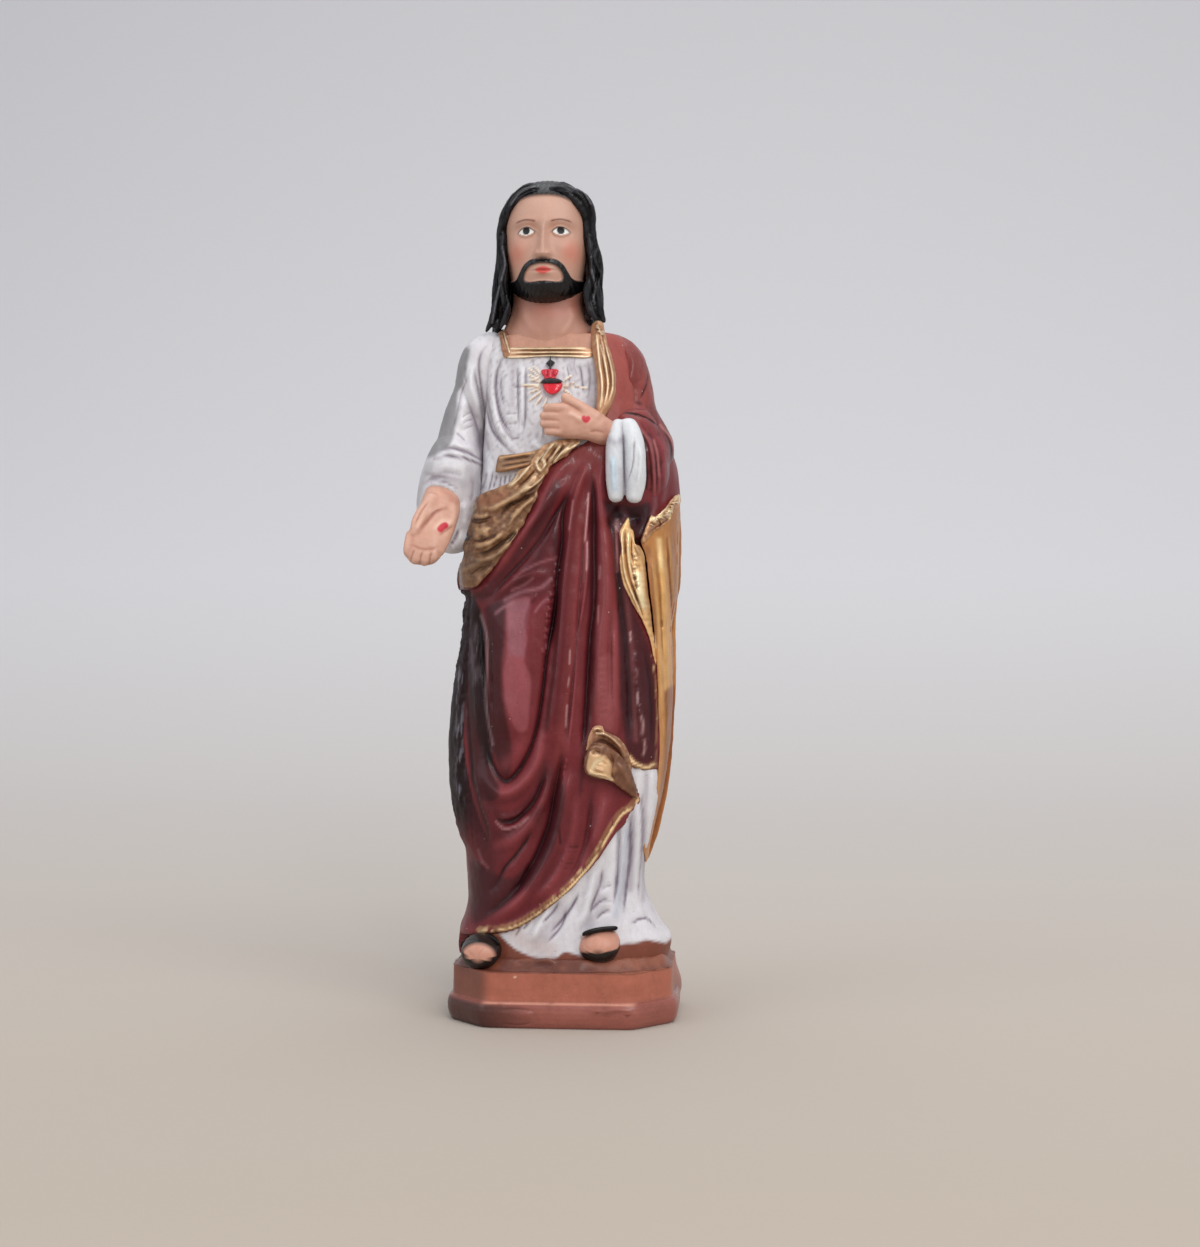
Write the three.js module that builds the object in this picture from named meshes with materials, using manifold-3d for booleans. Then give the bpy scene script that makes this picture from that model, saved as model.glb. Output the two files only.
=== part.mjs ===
// A painted cast-resin devotional figure: a robed and mantled man, one hand on the heart
// on his breast and the other held out, cast in one with a low eight-sided plinth.
// Millimetres, +Z up, the figure faces -Y, origin at the middle of the underside.
import * as THREE from "three";
import { mergeVertices } from "three/addons/utils/BufferGeometryUtils.js";
import Module from "manifold-3d";

const wasm = await Module();
wasm.setup();

// Driving dimensions of the plinth
const plinthWidth = 51.8;
const plinthDepth = 40;
const plinthCorner = 9;
const plinthHeight = 12.8;
const mouldHeight = 6.2;
const mouldReach = 1.4;
const plinthEdgeRound = 0.4;
const groundRise = 4.4;

// Driving dimension of the figure: the crown of the head above the plinth
const figureHeight = 187;
// Everything on the figure is carved at its first height, then set to the one above.
const carvedHeight = 187;
const carvedGround = 12.8;
const figureScale = figureHeight / carvedHeight;
const figureShift = -1;

const degrees = Math.PI / 180;
const clamp01 = (v) => Math.min(1, Math.max(0, v));
const ease = (from, to, v) => {
  const t = clamp01((v - from) / (to - from));
  return t * t * (3 - 2 * t);
};
const bell = (v) => Math.exp(-v * v);

// Reads a table of rows [height, value, value ...] at any height, along smooth curves.
function readTable(table, height) {
  let i = table.findIndex((row) => row[0] >= height);
  if (i < 0) i = table.length - 1;
  i = Math.max(1, i);
  const rows = [i - 2, i - 1, i, i + 1].map((k) => table[Math.min(table.length - 1, Math.max(0, k))]);
  const t = clamp01((height - rows[1][0]) / (rows[2][0] - rows[1][0]));
  return rows[1].slice(1).map((_, k) => {
    const [a, b, c, d] = rows.map((row) => row[k + 1]);
    return b + 0.5 * t * (c - a + t * (2 * a - 5 * b + 4 * c - d + t * (3 * (b - c) + d - a)));
  });
}

// Solids from plain surfaces
function toSolid(geometry) {
  const bare = geometry.clone();
  bare.deleteAttribute("normal");
  bare.deleteAttribute("uv");
  const merged = mergeVertices(bare, 1e-4);
  return new wasm.Manifold(
    new wasm.Mesh({
      numProp: 3,
      vertProperties: new Float32Array(merged.attributes.position.array),
      triVerts: new Uint32Array(merged.index.array),
    }),
  );
}

function toGeometry(solid) {
  const mesh = solid.getMesh();
  return new THREE.BufferGeometry()
    .setAttribute("position", new THREE.BufferAttribute(new Float32Array(mesh.vertProperties), 3))
    .setIndex(new THREE.BufferAttribute(new Uint32Array(mesh.triVerts), 1));
}

// Skins a stack of rings of equal count and closes both ends with a fan.
function skin(rings) {
  const count = rings[0].length;
  const points = rings.flat();
  const faces = [];
  for (let i = 0; i + 1 < rings.length; i++) {
    for (let j = 0; j < count; j++) {
      const a = i * count + j;
      const b = i * count + ((j + 1) % count);
      faces.push(a, b, b + count, a, b + count, a + count);
    }
  }
  const middle = (ring) => ring.reduce((sum, p) => sum.add(p), new THREE.Vector3()).divideScalar(count);
  const last = (rings.length - 1) * count;
  points.push(middle(rings[0]), middle(rings[rings.length - 1]));
  for (let j = 0; j < count; j++) {
    const k = (j + 1) % count;
    faces.push(k, j, points.length - 2, last + j, last + k, points.length - 1);
  }
  return new THREE.BufferGeometry().setFromPoints(points).setIndex(faces);
}

// A limb: an oval section swept along a smooth line. Each stop is [x, y, z, half width, half depth].
// The section's width lies along "across", turned to stay square to the line.
function limb(stops, { steps = 10, sides = 12, across = [1, 0, 0] } = {}) {
  const line = new THREE.CatmullRomCurve3(stops.map((s) => new THREE.Vector3(...s)), false, "centripetal");
  const wanted = new THREE.Vector3(...across);
  const sizes = stops.map((s, i) => [i / (stops.length - 1), s[3], s[4]]);
  const rings = [];
  for (let i = 0; i <= steps; i++) {
    const t = i / steps;
    const at = line.getPoint(t);
    const along = line.getTangent(t);
    const wide = wanted.clone().addScaledVector(along, -wanted.dot(along)).normalize();
    const deep = along.clone().cross(wide);
    const [halfWidth, halfDepth] = readTable(sizes, t);
    rings.push(
      Array.from({ length: sides }, (_, j) => {
        const turn = (2 * Math.PI * j) / sides;
        return at
          .clone()
          .addScaledVector(wide, halfWidth * Math.cos(turn))
          .addScaledVector(deep, halfDepth * Math.sin(turn));
      }),
    );
  }
  return toSolid(skin(rings));
}

// A ball drawn out to three half sizes, and reshaped by an optional function.
function ball(middle, sizes, { sides = 16, reshape = (p) => p } = {}) {
  const geometry = new THREE.SphereGeometry(1, sides, Math.round(sides * 0.75));
  geometry.rotateX(Math.PI / 2);
  const at = geometry.attributes.position;
  for (let i = 0; i < at.count; i++) {
    const p = reshape(new THREE.Vector3().fromBufferAttribute(at, i)).multiply(new THREE.Vector3(...sizes));
    at.setXYZ(i, p.x, p.y, p.z);
  }
  geometry.translate(...middle);
  return toSolid(geometry);
}

// A hanging cloth: rows of points [x, y, z] joined by smooth curves, thickened to both sides.
function cloth(rows, thickness, { across = 8, down = 8 } = {}) {
  const spread = (points, count) => {
    const line = new THREE.CatmullRomCurve3(points, false, "centripetal");
    return Array.from({ length: count + 1 }, (_, i) => line.getPoint(i / count));
  };
  const strips = rows.map((row) => spread(row.map((p) => new THREE.Vector3(...p)), across));
  const columns = strips[0].map((_, j) => spread(strips.map((strip) => strip[j]), down));
  const at = (i, j) => columns[Math.min(across, Math.max(0, j))][Math.min(down, Math.max(0, i))];
  const rings = [];
  for (let i = 0; i <= down; i++) {
    const front = [];
    const back = [];
    for (let j = 0; j <= across; j++) {
      const sideways = at(i, j + 1).clone().sub(at(i, j - 1));
      const downwards = at(i + 1, j).clone().sub(at(i - 1, j));
      const out = sideways.cross(downwards).normalize().multiplyScalar(thickness / 2);
      front.push(at(i, j).clone().add(out));
      back.unshift(at(i, j).clone().sub(out));
    }
    rings.push([...front, ...back]);
  }
  const solid = toSolid(skin(rings));
  return solid.volume() < 0 ? toSolid(skin(rings.reverse())) : solid;
}

// Folds of the cloth. Each runs along a smooth line of [x, z] points as seen from the front or
// the back, stands proud by its height or is cut in by a negative one, and fades at its ends.
const foldLine = (points) =>
  new THREE.SplineCurve(points.map((p) => new THREE.Vector2(...p))).getPoints(6 * (points.length - 1));
const fold = (height, width, ...points) => ({ height, width, line: foldLine(points) });

function foldRelief(folds, x, z) {
  let sum = 0;
  for (const { height, width, line } of folds) {
    let nearest = Infinity;
    let share = 0;
    for (let i = 0; i + 1 < line.length; i++) {
      const [a, b] = [line[i], line[i + 1]];
      const [dx, dz] = [b.x - a.x, b.y - a.y];
      const t = clamp01(((x - a.x) * dx + (z - a.y) * dz) / (dx * dx + dz * dz));
      const away = Math.hypot(x - a.x - t * dx, z - a.y - t * dz);
      if (away < nearest) {
        nearest = away;
        share = (i + t) / (line.length - 1);
      }
    }
    sum += height * bell(nearest / width) * ease(0, 0.2, share) * ease(1, 0.8, share);
  }
  return sum;
}

const frontFolds = [
  // the roll of the mantle across the waist, and the drag lines beneath it
  fold(3.0, 3.2, [12, 140], [4, 133], [-5, 123], [-14, 113], [-26, 105]),
  fold(1.9, 2.2, [2, 134], [-7, 125], [-15, 119], [-24, 116]),
  fold(-1.5, 1.8, [6, 133], [-5, 119], [-15, 109], [-26, 101]),
  fold(1.2, 2.2, [6, 118], [-2, 106], [-12, 98], [-24, 93]),
  // the leg that is set forward, and the grooves that round it
  fold(2.0, 6.5, [-12, 102], [-12.5, 84], [-13, 66]),
  fold(-2.0, 2.2, [-1, 104], [-2.5, 86], [-5, 68], [-12, 50], [-18, 47]),
  fold(-1.3, 1.8, [-21, 96], [-21, 74], [-18, 54]),
  // the long pleats from the hand
  fold(2.2, 2.2, [8, 134], [4, 106], [2, 80], [-2, 58], [-10, 36], [-20, 24]),
  fold(-1.8, 1.8, [10, 128], [8, 100], [6.5, 74], [3, 50], [-4, 34]),
  fold(2.0, 2.4, [12, 126], [11, 96], [10, 72], [7, 50], [-2, 32]),
  fold(-1.6, 1.7, [16, 116], [15, 90], [14, 68], [12, 56]),
  fold(1.7, 2.2, [18.5, 110], [19.5, 84], [19, 60]),
  // the swags that hang between them
  fold(1.7, 2.2, [-24, 66], [-17, 48], [-9, 43], [0, 58]),
  fold(-1.5, 1.7, [-23, 58], [-16, 42], [-7, 38], [2, 52]),
  fold(1.6, 2.2, [-23, 50], [-15, 35], [-5, 33], [5, 46]),
  fold(1.4, 2.0, [-22, 36], [-15, 27], [-6, 27], [4, 36]),
  // the hem of the mantle
  fold(1.3, 1.5, [18, 54], [10, 42], [0, 30], [-12, 21], [-24, 20]),
  // the robe over the breast and at its hem
  fold(1.3, 1.7, [-15, 160], [-15.5, 146], [-12, 136], [-6, 133]),
  fold(-1.2, 1.4, [-12.5, 158], [-12.5, 146], [-9, 138]),
  fold(-1.2, 1.5, [-5, 154], [-5.5, 142], [-5, 134]),
  fold(-1.1, 1.4, [1, 152], [1, 142]),
  fold(1.0, 1.6, [-18, 132], [-8, 133], [2, 135]),
  fold(1.4, 1.7, [15, 54], [15, 36], [19, 20], [23, 14]),
  fold(-1.3, 1.4, [11, 42], [10, 28], [12, 14]),
  fold(1.4, 1.8, [4, 34], [2, 24], [-3, 13]),
  fold(-1.1, 1.4, [-2, 28], [-6, 18], [-8, 12]),
];
const backFolds = [
  fold(1.7, 3.0, [14, 156], [8, 130], [-4, 100], [-18, 74]),
  fold(-1.5, 2.2, [18, 148], [14, 120], [4, 88], [-10, 60]),
  fold(1.8, 3.0, [20, 140], [18, 108], [11, 74], [0, 44]),
  fold(-1.5, 2.2, [22, 122], [21, 92], [15, 58], [8, 36]),
  fold(1.5, 2.8, [-16, 58], [-8, 40], [2, 28]),
  fold(2.0, 3.0, [12, 162], [2, 145], [-10, 126], [-22, 112]),
];

// The dressed body: reach to the sitter's right, left, front and back at each height
const bodyReach = [
  [11, 24.2, 25.2, 18.0, 18.5],
  [18, 23.4, 25.4, 17.2, 18.0],
  [22, 22.8, 23.0, 16.8, 17.8],
  [27, 22.3, 21.0, 16.4, 17.6],
  [33, 22.2, 20.2, 16.2, 17.6],
  [42, 22.3, 20.8, 16.2, 18.0],
  [55, 22.6, 21.6, 16.6, 18.6],
  [75, 23.0, 22.2, 17.0, 18.6],
  [95, 23.4, 21.8, 16.6, 18.2],
  [103, 25.0, 21.6, 16.2, 18.0],
  [112, 24.4, 21.0, 15.6, 17.6],
  [120, 21.8, 20.4, 15.0, 17.0],
  [128, 20.5, 20.0, 14.2, 16.4],
  [136, 20.0, 19.6, 13.4, 15.6],
  [146, 19.5, 18.8, 12.6, 14.8],
  [153, 19.6, 17.8, 11.4, 13.6],
  [158, 20.0, 16.4, 9.8, 12.2],
  [161.5, 18.4, 14.4, 8.4, 10.8],
  [164, 14.4, 11.4, 6.6, 9.0],
];
// How far the hanging cloak stands out at each height: on the sitter's right, then left
const cloakReach = [
  [11, 1.6, 0.0],
  [17, 2.0, 0.0],
  [20.6, 2.0, 0.0],
  [24.2, 1.0, 0.0],
  [28, 0.6, 0.0],
  [33, 1.0, 0.0],
  [38.6, 1.5, 0.2],
  [42, 3.2, 0.6],
  [46, 4.5, 1.3],
  [54, 5.7, 2.7],
  [66, 5.7, 3.9],
  [80, 3.9, 4.3],
  [86, 2.6, 4.4],
  [92, 1.4, 4.3],
  [97, 0.4, 5.1],
  [101.6, 0.3, 6.0],
  [112, 0.0, 6.9],
  [122, 0.0, 7.9],
  [130, 0.0, 7.6],
  [136, 0.0, 5.8],
  [141, 0.0, 2.0],
  [146, 0.0, 0.0],
];
const bodySquareness = 2.3; // 2 would be an ellipse
const cloakEdgeRight = { middle: 166 * degrees, toFront: 11 * degrees, toBack: 34 * degrees };
const cloakEdgeLeft = { middle: 8 * degrees, toFront: 13 * degrees, toBack: 40 * degrees };

function bodyRadius(turn, z) {
  const [right, left, front, back] = readTable(bodyReach, z);
  const [cloakRight, cloakLeft] = readTable(cloakReach, z);
  const [c, s] = [Math.cos(turn), Math.sin(turn)];
  const wide = Math.abs(c) / (c < 0 ? right : left);
  const deep = Math.abs(s) / (s < 0 ? front : back);
  let radius = (wide ** bodySquareness + deep ** bodySquareness) ** (-1 / bodySquareness);
  const [x, isFront] = [radius * c, s < 0];
  radius += foldRelief(isFront ? frontFolds : backFolds, x, z) * ease(0.05, 0.5, Math.abs(s));
  const around = (edge, towardsFront) => {
    const off = Math.atan2(Math.sin(turn - edge.middle), Math.cos(turn - edge.middle));
    return bell(off / (off * towardsFront > 0 ? edge.toFront : edge.toBack));
  };
  return radius + cloakRight * around(cloakEdgeRight, 1) + cloakLeft * around(cloakEdgeLeft, -1);
}

function body() {
  const [rows, columns, bottom, top] = [42, 43, 11, 164];
  const crowding = 0.5; // the columns stand closer at the front
  const lastRow = 75 * degrees; // the rows stand closer towards the shoulders
  const rings = [];
  for (let i = 0; i <= rows; i++) {
    const z = bottom + ((top - bottom) * Math.sin((i / rows) * lastRow)) / Math.sin(lastRow);
    rings.push(
      Array.from({ length: columns }, (_, j) => {
        const t = j / columns;
        const turn = -90 * degrees + 2 * Math.PI * t - crowding * Math.sin(2 * Math.PI * t);
        const radius = bodyRadius(turn, z);
        return new THREE.Vector3(radius * Math.cos(turn), radius * Math.sin(turn), z);
      }),
    );
  }
  return toSolid(skin(rings));
}

// The head: a face under hair that is parted in the middle and falls to the shoulders
function head() {
  const headX = -3.6;
  const face = ball([headX, -1.8, 184.6], [9.9, 10.4, 14.4], {
    sides: 16,
    reshape: (p) => {
      const jaw = ease(-0.1, -1, p.z);
      p.x *= 1 - 0.26 * jaw;
      if (p.y < 0) p.y *= 1 - 0.14 * bell((p.z - 0.12) / 0.2) * ease(0, 0.9, -p.y);
      return p;
    },
  });
  const nose = limb(
    [[headX, -10.6, 188.5, 0.9, 1.2], [headX, -13.0, 183.6, 1.4, 1.2], [headX, -11.4, 181.6, 1.9, 0.9]],
    { steps: 4, sides: 8 },
  );
  const beard = ball([headX, -5.6, 174.6], [7.4, 6.6, 5.4], { sides: 12 });
  const moustache = limb(
    [[headX - 5, -8.6, 175.6, 0.8, 0.8], [headX - 3, -11.4, 179.0, 0.8, 0.9], [headX, -12.4, 180.2, 0.9, 0.9],
      [headX + 3, -11.4, 179.0, 0.8, 0.9], [headX + 5, -8.6, 175.6, 0.8, 0.8]],
    { steps: 8, sides: 6, across: [0, 0, 1] },
  );
  const cap = ball([headX, 0.8, 187.0], [12.0, 11.6, 13.0], {
    sides: 17,
    reshape: (p) => p.multiplyScalar(1 - 0.05 * bell(p.x / 0.14) * ease(-0.2, 0.6, p.z)),
  });
  const opening = ball([headX, -14.4, 183.0], [9.8, 13.4, 12.8], { sides: 14 });
  const backHair = limb(
    [[headX, 4.6, 192, 9.8, 6.4], [headX, 6.0, 181, 12.0, 6.4], [-3.2, 7.2, 170, 12.6, 5.0],
      [-2.8, 8.6, 160, 10.6, 3.4]],
    { steps: 7, sides: 14 },
  );
  const lock = (side, drop) =>
    limb(
      [[headX + 9.6 * side, -0.6, 191, 1.8, 4.4], [headX + 10.8 * side, 0.2, 182, 1.6, 5.2],
        [headX + 11.2 * side, -0.4, 173, 2.4, 5.0], [headX + 11.2 * side, -2.6, 166, 2.4, 3.4],
        [headX + (11.6 + 0.3 * drop) * side, -4.4, 163 - drop, 0.9, 1.2]],
      { steps: 8, sides: 10 },
    );
  const neck = limb(
    [[-3.2, 1.2, 156.5, 12.6, 8.2], [-3.4, 0.6, 163, 11.2, 8.0], [-3.5, 0.2, 168.5, 9.0, 7.2],
      [headX, -0.4, 177, 8.0, 6.8]],
    { steps: 6, sides: 14 },
  );
  const hair = cap.subtract(opening).add(backHair).add(lock(-1, 1.6)).add(lock(1, 0));
  return [face, nose, beard, moustache, neck, hair];
}

// A hand: a palm and five fingers, each finger a tapering limb from its knuckle
function hand(palm, fingers, across) {
  return [
    limb(palm, { steps: 5, sides: 10, across }),
    ...fingers.map((finger) => limb(finger, { steps: 3, sides: 6, across })),
  ];
}

function rightArm() {
  const sleeve = limb(
    [[-12.0, 1, 160.2, 3.6, 4.6], [-18.6, 1.4, 157.4, 5.8, 6.8], [-21.2, 2.0, 149, 5.6, 7.2],
      [-23.8, 2.6, 142, 5.0, 7.0], [-25.4, 1.0, 135, 6.2, 7.6], [-26.6, -3.6, 127.6, 7.6, 8.2],
      [-27.8, -8.2, 120.6, 7.0, 7.6], [-27.4, -9.6, 112.4, 4.4, 4.6]],
    { steps: 12, sides: 13 },
  );
  const across = [0.86, 0, -0.5];
  const fingers = [0, 1, 2, 3].map((k) => {
    const shift = (k - 1.5) * 2.4;
    const longer = [-1.4, 0.4, 0.8, 0.2][k];
    const [x, z] = [-32.6 + shift * 0.86, 111.8 - shift * 0.46];
    return [
      [x + 1.4, -18.0, z + 2.6, 1.35, 1.6],
      [x, -20.4, z - 0.8, 1.35, 1.5],
      [x - 1.0, -21.0, z - 3.6 - longer, 1.1, 1.2],
    ];
  });
  const thumb = [
    [-30.6, -13.0, 122.4, 2.0, 2.0],
    [-32.6, -16.8, 118.2, 1.6, 1.8],
    [-34.0, -18.6, 114.2, 1.2, 1.3],
  ];
  const palm = [
    [-27.0, -6.6, 126.0, 4.4, 3.8],
    [-28.4, -12.6, 120.8, 5.6, 3.4],
    [-31.2, -17.2, 114.2, 5.6, 2.8],
  ];
  return [sleeve, ...hand(palm, [...fingers, thumb], across)];
}

function leftArm() {
  const mantled = limb(
    [[8.0, 1, 160.4, 3.6, 4.6], [13.6, 1.4, 156.6, 5.4, 6.8], [15.8, 2.0, 150, 5.6, 7.6],
      [17.0, 2.0, 143, 5.8, 8.0], [20.6, 0.6, 134.6, 7.4, 8.2], [18.6, -6.6, 132.6, 6.6, 7.2],
      [14.6, -12.4, 135.4, 4.4, 5.0]],
    { steps: 12, sides: 13 },
  );
  const cuff = limb(
    [[13.4, -13.4, 140.6, 2.6, 3.0], [14.6, -15.2, 135.0, 4.4, 3.0], [15.0, -15.8, 128.0, 4.6, 2.6],
      [15.0, -15.4, 122.6, 3.8, 1.8]],
    { steps: 7, sides: 12 },
  );
  const across = [0.1, 0.1, 1];
  const fingers = [0, 1, 2, 3].map((k) => {
    const z = 142.8 - 2.1 * k;
    const longer = [-0.6, 0.5, 0.2, -0.8][k];
    return [
      [3.6, -16.6, z, 1.2, 1.3],
      [-0.6, -17.0, z + 0.5, 1.15, 1.2],
      [-4.0 - longer, -15.6, z + 0.4, 0.9, 1.0],
    ];
  });
  const thumb = [
    [6.4, -15.8, 142.8, 1.9, 1.9],
    [2.4, -16.0, 145.2, 1.5, 1.6],
    [-1.6, -15.0, 145.8, 1.1, 1.2],
  ];
  const palm = [
    [13.0, -13.0, 136.2, 3.4, 3.2],
    [8.0, -15.0, 138.4, 4.8, 2.9],
    [3.2, -16.0, 140.0, 4.4, 2.2],
  ];
  return [mantled, cuff, ...hand(palm, [...fingers, thumb], across)];
}

// Loose edges of the mantle: the strip turned out at the neck, the leaf of lining below the
// cuff, and the corner that is folded over at the knee
function looseCloth() {
  const collar = limb(
    [[8.8, -5.6, 161.6, 1.8, 1.8], [10.4, -10.8, 152, 2.2, 1.8], [11.4, -13.4, 146, 2.0, 1.6]],
    { steps: 5, sides: 8 },
  );
  const leaf = cloth(
    [
      [[14.4, -13.6, 124], [15.8, -14.4, 124.6], [17.4, -13.4, 124]],
      [[13.6, -14.8, 108], [17.0, -16.6, 108], [20.4, -11.6, 108]],
      [[15.6, -15.6, 98], [19.2, -15.0, 98], [22.0, -9.6, 98]],
      [[18.4, -12.6, 89], [20.4, -11.2, 89], [22.4, -8.0, 89]],
    ],
    1.8,
    { across: 4, down: 7 },
  );
  const corner = cloth(
    [
      [[7.0, -16.8, 65.6], [10.6, -19.2, 66.4], [15.0, -17.6, 62.6]],
      [[6.2, -18.6, 60.6], [11.4, -21.4, 60.8], [17.4, -17.6, 56.4]],
      [[6.8, -17.8, 56.6], [12.0, -20.2, 54.8], [18.4, -16.4, 50.6]],
    ],
    2.4,
    { across: 6, down: 5 },
  );
  return [collar, leaf, corner];
}

// The heart with its flames and cross, in low relief on the breast
function heart() {
  const flame = [[2.7, 0.9], [1.7, 1.2], [2.4, 3.7]];
  const cross = [[0.5, 3.3], [0.5, 4], [1.1, 4.2], [0.5, 4.6], [0.5, 5.5]];
  const half = [[3.1, 0], ...flame, ...cross];
  const outline = new THREE.Shape();
  outline.moveTo(0, -3.6);
  outline.bezierCurveTo(1.8, -3.2, 3.0, -1.8, ...half[0]);
  half.slice(1).forEach((p) => outline.lineTo(...p));
  [...half].reverse().forEach(([x, z]) => outline.lineTo(-x, z));
  outline.bezierCurveTo(-3.0, -1.8, -1.8, -3.2, 0, -3.6);
  const relief = new THREE.ExtrudeGeometry(outline, { depth: 4, curveSegments: 4, bevelEnabled: false });
  relief.rotateX(90 * degrees);
  relief.translate(-2.8, -10.2, 150.6);
  return [toSolid(relief)];
}

// Sandalled feet that show under the hem
function feet() {
  const foot = (x, y, z, swing) =>
    limb(
      [[x - 0.6 * swing, y + 7, z + 2.8, 3.4, 3.4], [x, y + 1, z + 2.0, 4.6, 3.2],
        [x + 0.6 * swing, y - 3.6, z, 4.0, 2.0]],
      { steps: 6, sides: 12 },
    );
  return [foot(-18.6, -14.6, 14.2, -1), foot(10.0, -14.4, 16.0, 0.6)];
}

// Eight-sided ring of the plinth at one height, grown outwards by a margin
function octagon(margin, z) {
  const [w, d] = [plinthWidth / 2 + margin, plinthDepth / 2 + margin];
  const c = plinthCorner + margin * (2 - Math.SQRT2);
  const rightHalf = [[w - c, -d], [w, c - d], [w, d - c], [w - c, d]];
  const leftHalf = rightHalf.map(([x, y]) => [-x, -y]);
  return [...rightHalf, ...leftHalf].map(([x, y]) => new THREE.Vector3(x, y, z));
}

// The plinth: a swelling moulding under a plain straight tier
function plinth() {
  const swell = (share) => [mouldReach * Math.sin(share * Math.PI * 0.62) ** 0.8, mouldHeight * share];
  const profile = [
    ...[0, 0.1, 0.3, 0.55, 0.8, 0.93].map(swell),
    [0, mouldHeight],
    [0, plinthHeight - plinthEdgeRound],
    [-plinthEdgeRound, plinthHeight],
  ];
  return toSolid(skin(profile.map(([margin, z]) => octagon(margin, z))));
}

// The rocky ground: a rise towards the sitter's left that stays within the plinth's own outline
function ground() {
  const rise = ball(
    [plinthWidth * 0.25, plinthDepth * 0.13, plinthHeight / 2],
    [plinthWidth * 0.51, plinthDepth * 0.55, plinthHeight / 2 + groundRise + 1.6],
    { sides: 16 },
  );
  const bounds = [octagon(-plinthEdgeRound, plinthHeight / 2), octagon(-plinthEdgeRound, plinthHeight * 2)];
  return rise.intersect(toSolid(skin(bounds)));
}

// The casting has swollen a little at the back corner on the sitter's left.
function swelling() {
  const lump = ball(
    [plinthWidth / 2 - 3.8, plinthDepth * 0.17, plinthHeight * 0.3],
    [mouldReach + 4, plinthDepth * 0.24, plinthHeight * 0.46],
    { sides: 12 },
  );
  const above = [octagon(plinthCorner, 0), octagon(plinthCorner, plinthHeight)];
  return lump.intersect(toSolid(skin(above)));
}

function figure() {
  const pieces = [body(), ...head(), ...rightArm(), ...leftArm(), ...looseCloth(), ...heart(), ...feet()];
  return pieces
    .reduce((sum, piece) => sum.add(piece))
    .translate([figureShift, 0, -carvedGround])
    .scale([figureScale, figureScale, figureScale])
    .translate([0, 0, plinthHeight]);
}

const statue = new THREE.Mesh(
  toGeometry(figure().add(ground()).add(swelling()).add(plinth())),
  new THREE.MeshStandardMaterial({ color: 0x7a2f33, roughness: 0.4, metalness: 0 }),
);
statue.name = "statue";

const object = new THREE.Group();
object.add(statue);
export default object;
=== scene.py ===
import math
import bpy
import numpy as np
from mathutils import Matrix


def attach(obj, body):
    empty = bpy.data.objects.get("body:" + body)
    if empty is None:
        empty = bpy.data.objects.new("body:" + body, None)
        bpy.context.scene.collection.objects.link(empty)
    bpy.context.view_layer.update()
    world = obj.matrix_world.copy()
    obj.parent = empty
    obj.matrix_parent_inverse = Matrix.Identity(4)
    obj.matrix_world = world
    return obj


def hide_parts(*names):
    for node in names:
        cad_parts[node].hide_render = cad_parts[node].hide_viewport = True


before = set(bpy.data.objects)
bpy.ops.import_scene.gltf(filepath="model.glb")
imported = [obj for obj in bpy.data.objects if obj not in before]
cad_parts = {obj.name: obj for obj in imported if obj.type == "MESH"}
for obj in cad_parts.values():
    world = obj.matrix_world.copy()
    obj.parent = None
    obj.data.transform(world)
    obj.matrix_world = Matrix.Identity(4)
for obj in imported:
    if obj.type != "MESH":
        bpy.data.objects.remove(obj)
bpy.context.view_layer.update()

mm = 0.001
degrees = math.pi / 180

# The statue's own sizes in millimetres, as its solid has them
statueSizes = {"plinthWidth": 51.8, "plinthDepth": 40.0, "plinthCorner": 9.0, "plinthHeight": 12.8,
    "mouldHeight": 6.2, "figureShift": -1.0}

# Where the photograph was taken from. The camera is level, a little to one side.
photo = {"width": 1200, "height": 1247, "turn": 4.5, "distance": 440.0, "eyeHeight": 93.2, "aside": 7.9,
    "lens": 52.74, "sensor": 36.0}
focalPixels = photo["lens"] / photo["sensor"] * photo["height"]
pixelsPerMm = focalPixels / photo["distance"]
viewRight = np.array([math.cos(photo["turn"] * degrees), math.sin(photo["turn"] * degrees), 0])
viewForward = np.array([-viewRight[1], viewRight[0], 0])
eye = viewRight * photo["aside"] - viewForward * photo["distance"] + np.array([0, 0, photo["eyeHeight"]])
shift = np.array([statueSizes["figureShift"], 0, 0])


# Small sums that every piece uses
def ease(start, end, value):
    share = np.clip((value - start) / (end - start), 0, 1)
    return share * share * (3 - 2 * share)


def bell(value):
    return np.exp(-value * value)


def mix(first, second, share):
    share = np.asarray(share)
    if share.ndim == 1:
        share = share[:, None]
    return np.asarray(first) * (1 - share) + np.asarray(second) * share


def colour(red, green, blue):
    value = np.array([red, green, blue]) / 255
    return np.where(value > 0.04045, ((value + 0.055) / 1.055) ** 2.4, value / 12.92)


def curveThrough(points, parts):
    at = np.array(points, float)
    ends = np.vstack([2 * at[0] - at[1], at, 2 * at[-1] - at[-2]])
    stretches = []
    for i in range(len(at) - 1):
        a, b, c, d = ends[i:i + 4]
        t = np.linspace(0, 1, parts, endpoint=False)[:, None]
        stretches.append(b + 0.5 * t * (c - a + t
            * (2 * a - 5 * b + 4 * c - d + t * (3 * (b - c) + d - a))))
    return np.vstack(stretches + [at[-1:]])


def tableReader(rows, parts=12):
    line = curveThrough(rows, parts)
    return lambda height: [np.interp(height, line[:, 0], line[:, k]) for k in range(1, line.shape[1])]


def seen(points):
    off = points - eye
    away = off @ viewForward
    across = focalPixels * (off @ viewRight) / away + photo["width"] / 2
    return np.stack([across, photo["height"] / 2 - focalPixels * off[:, 2] / away], 1)


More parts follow.
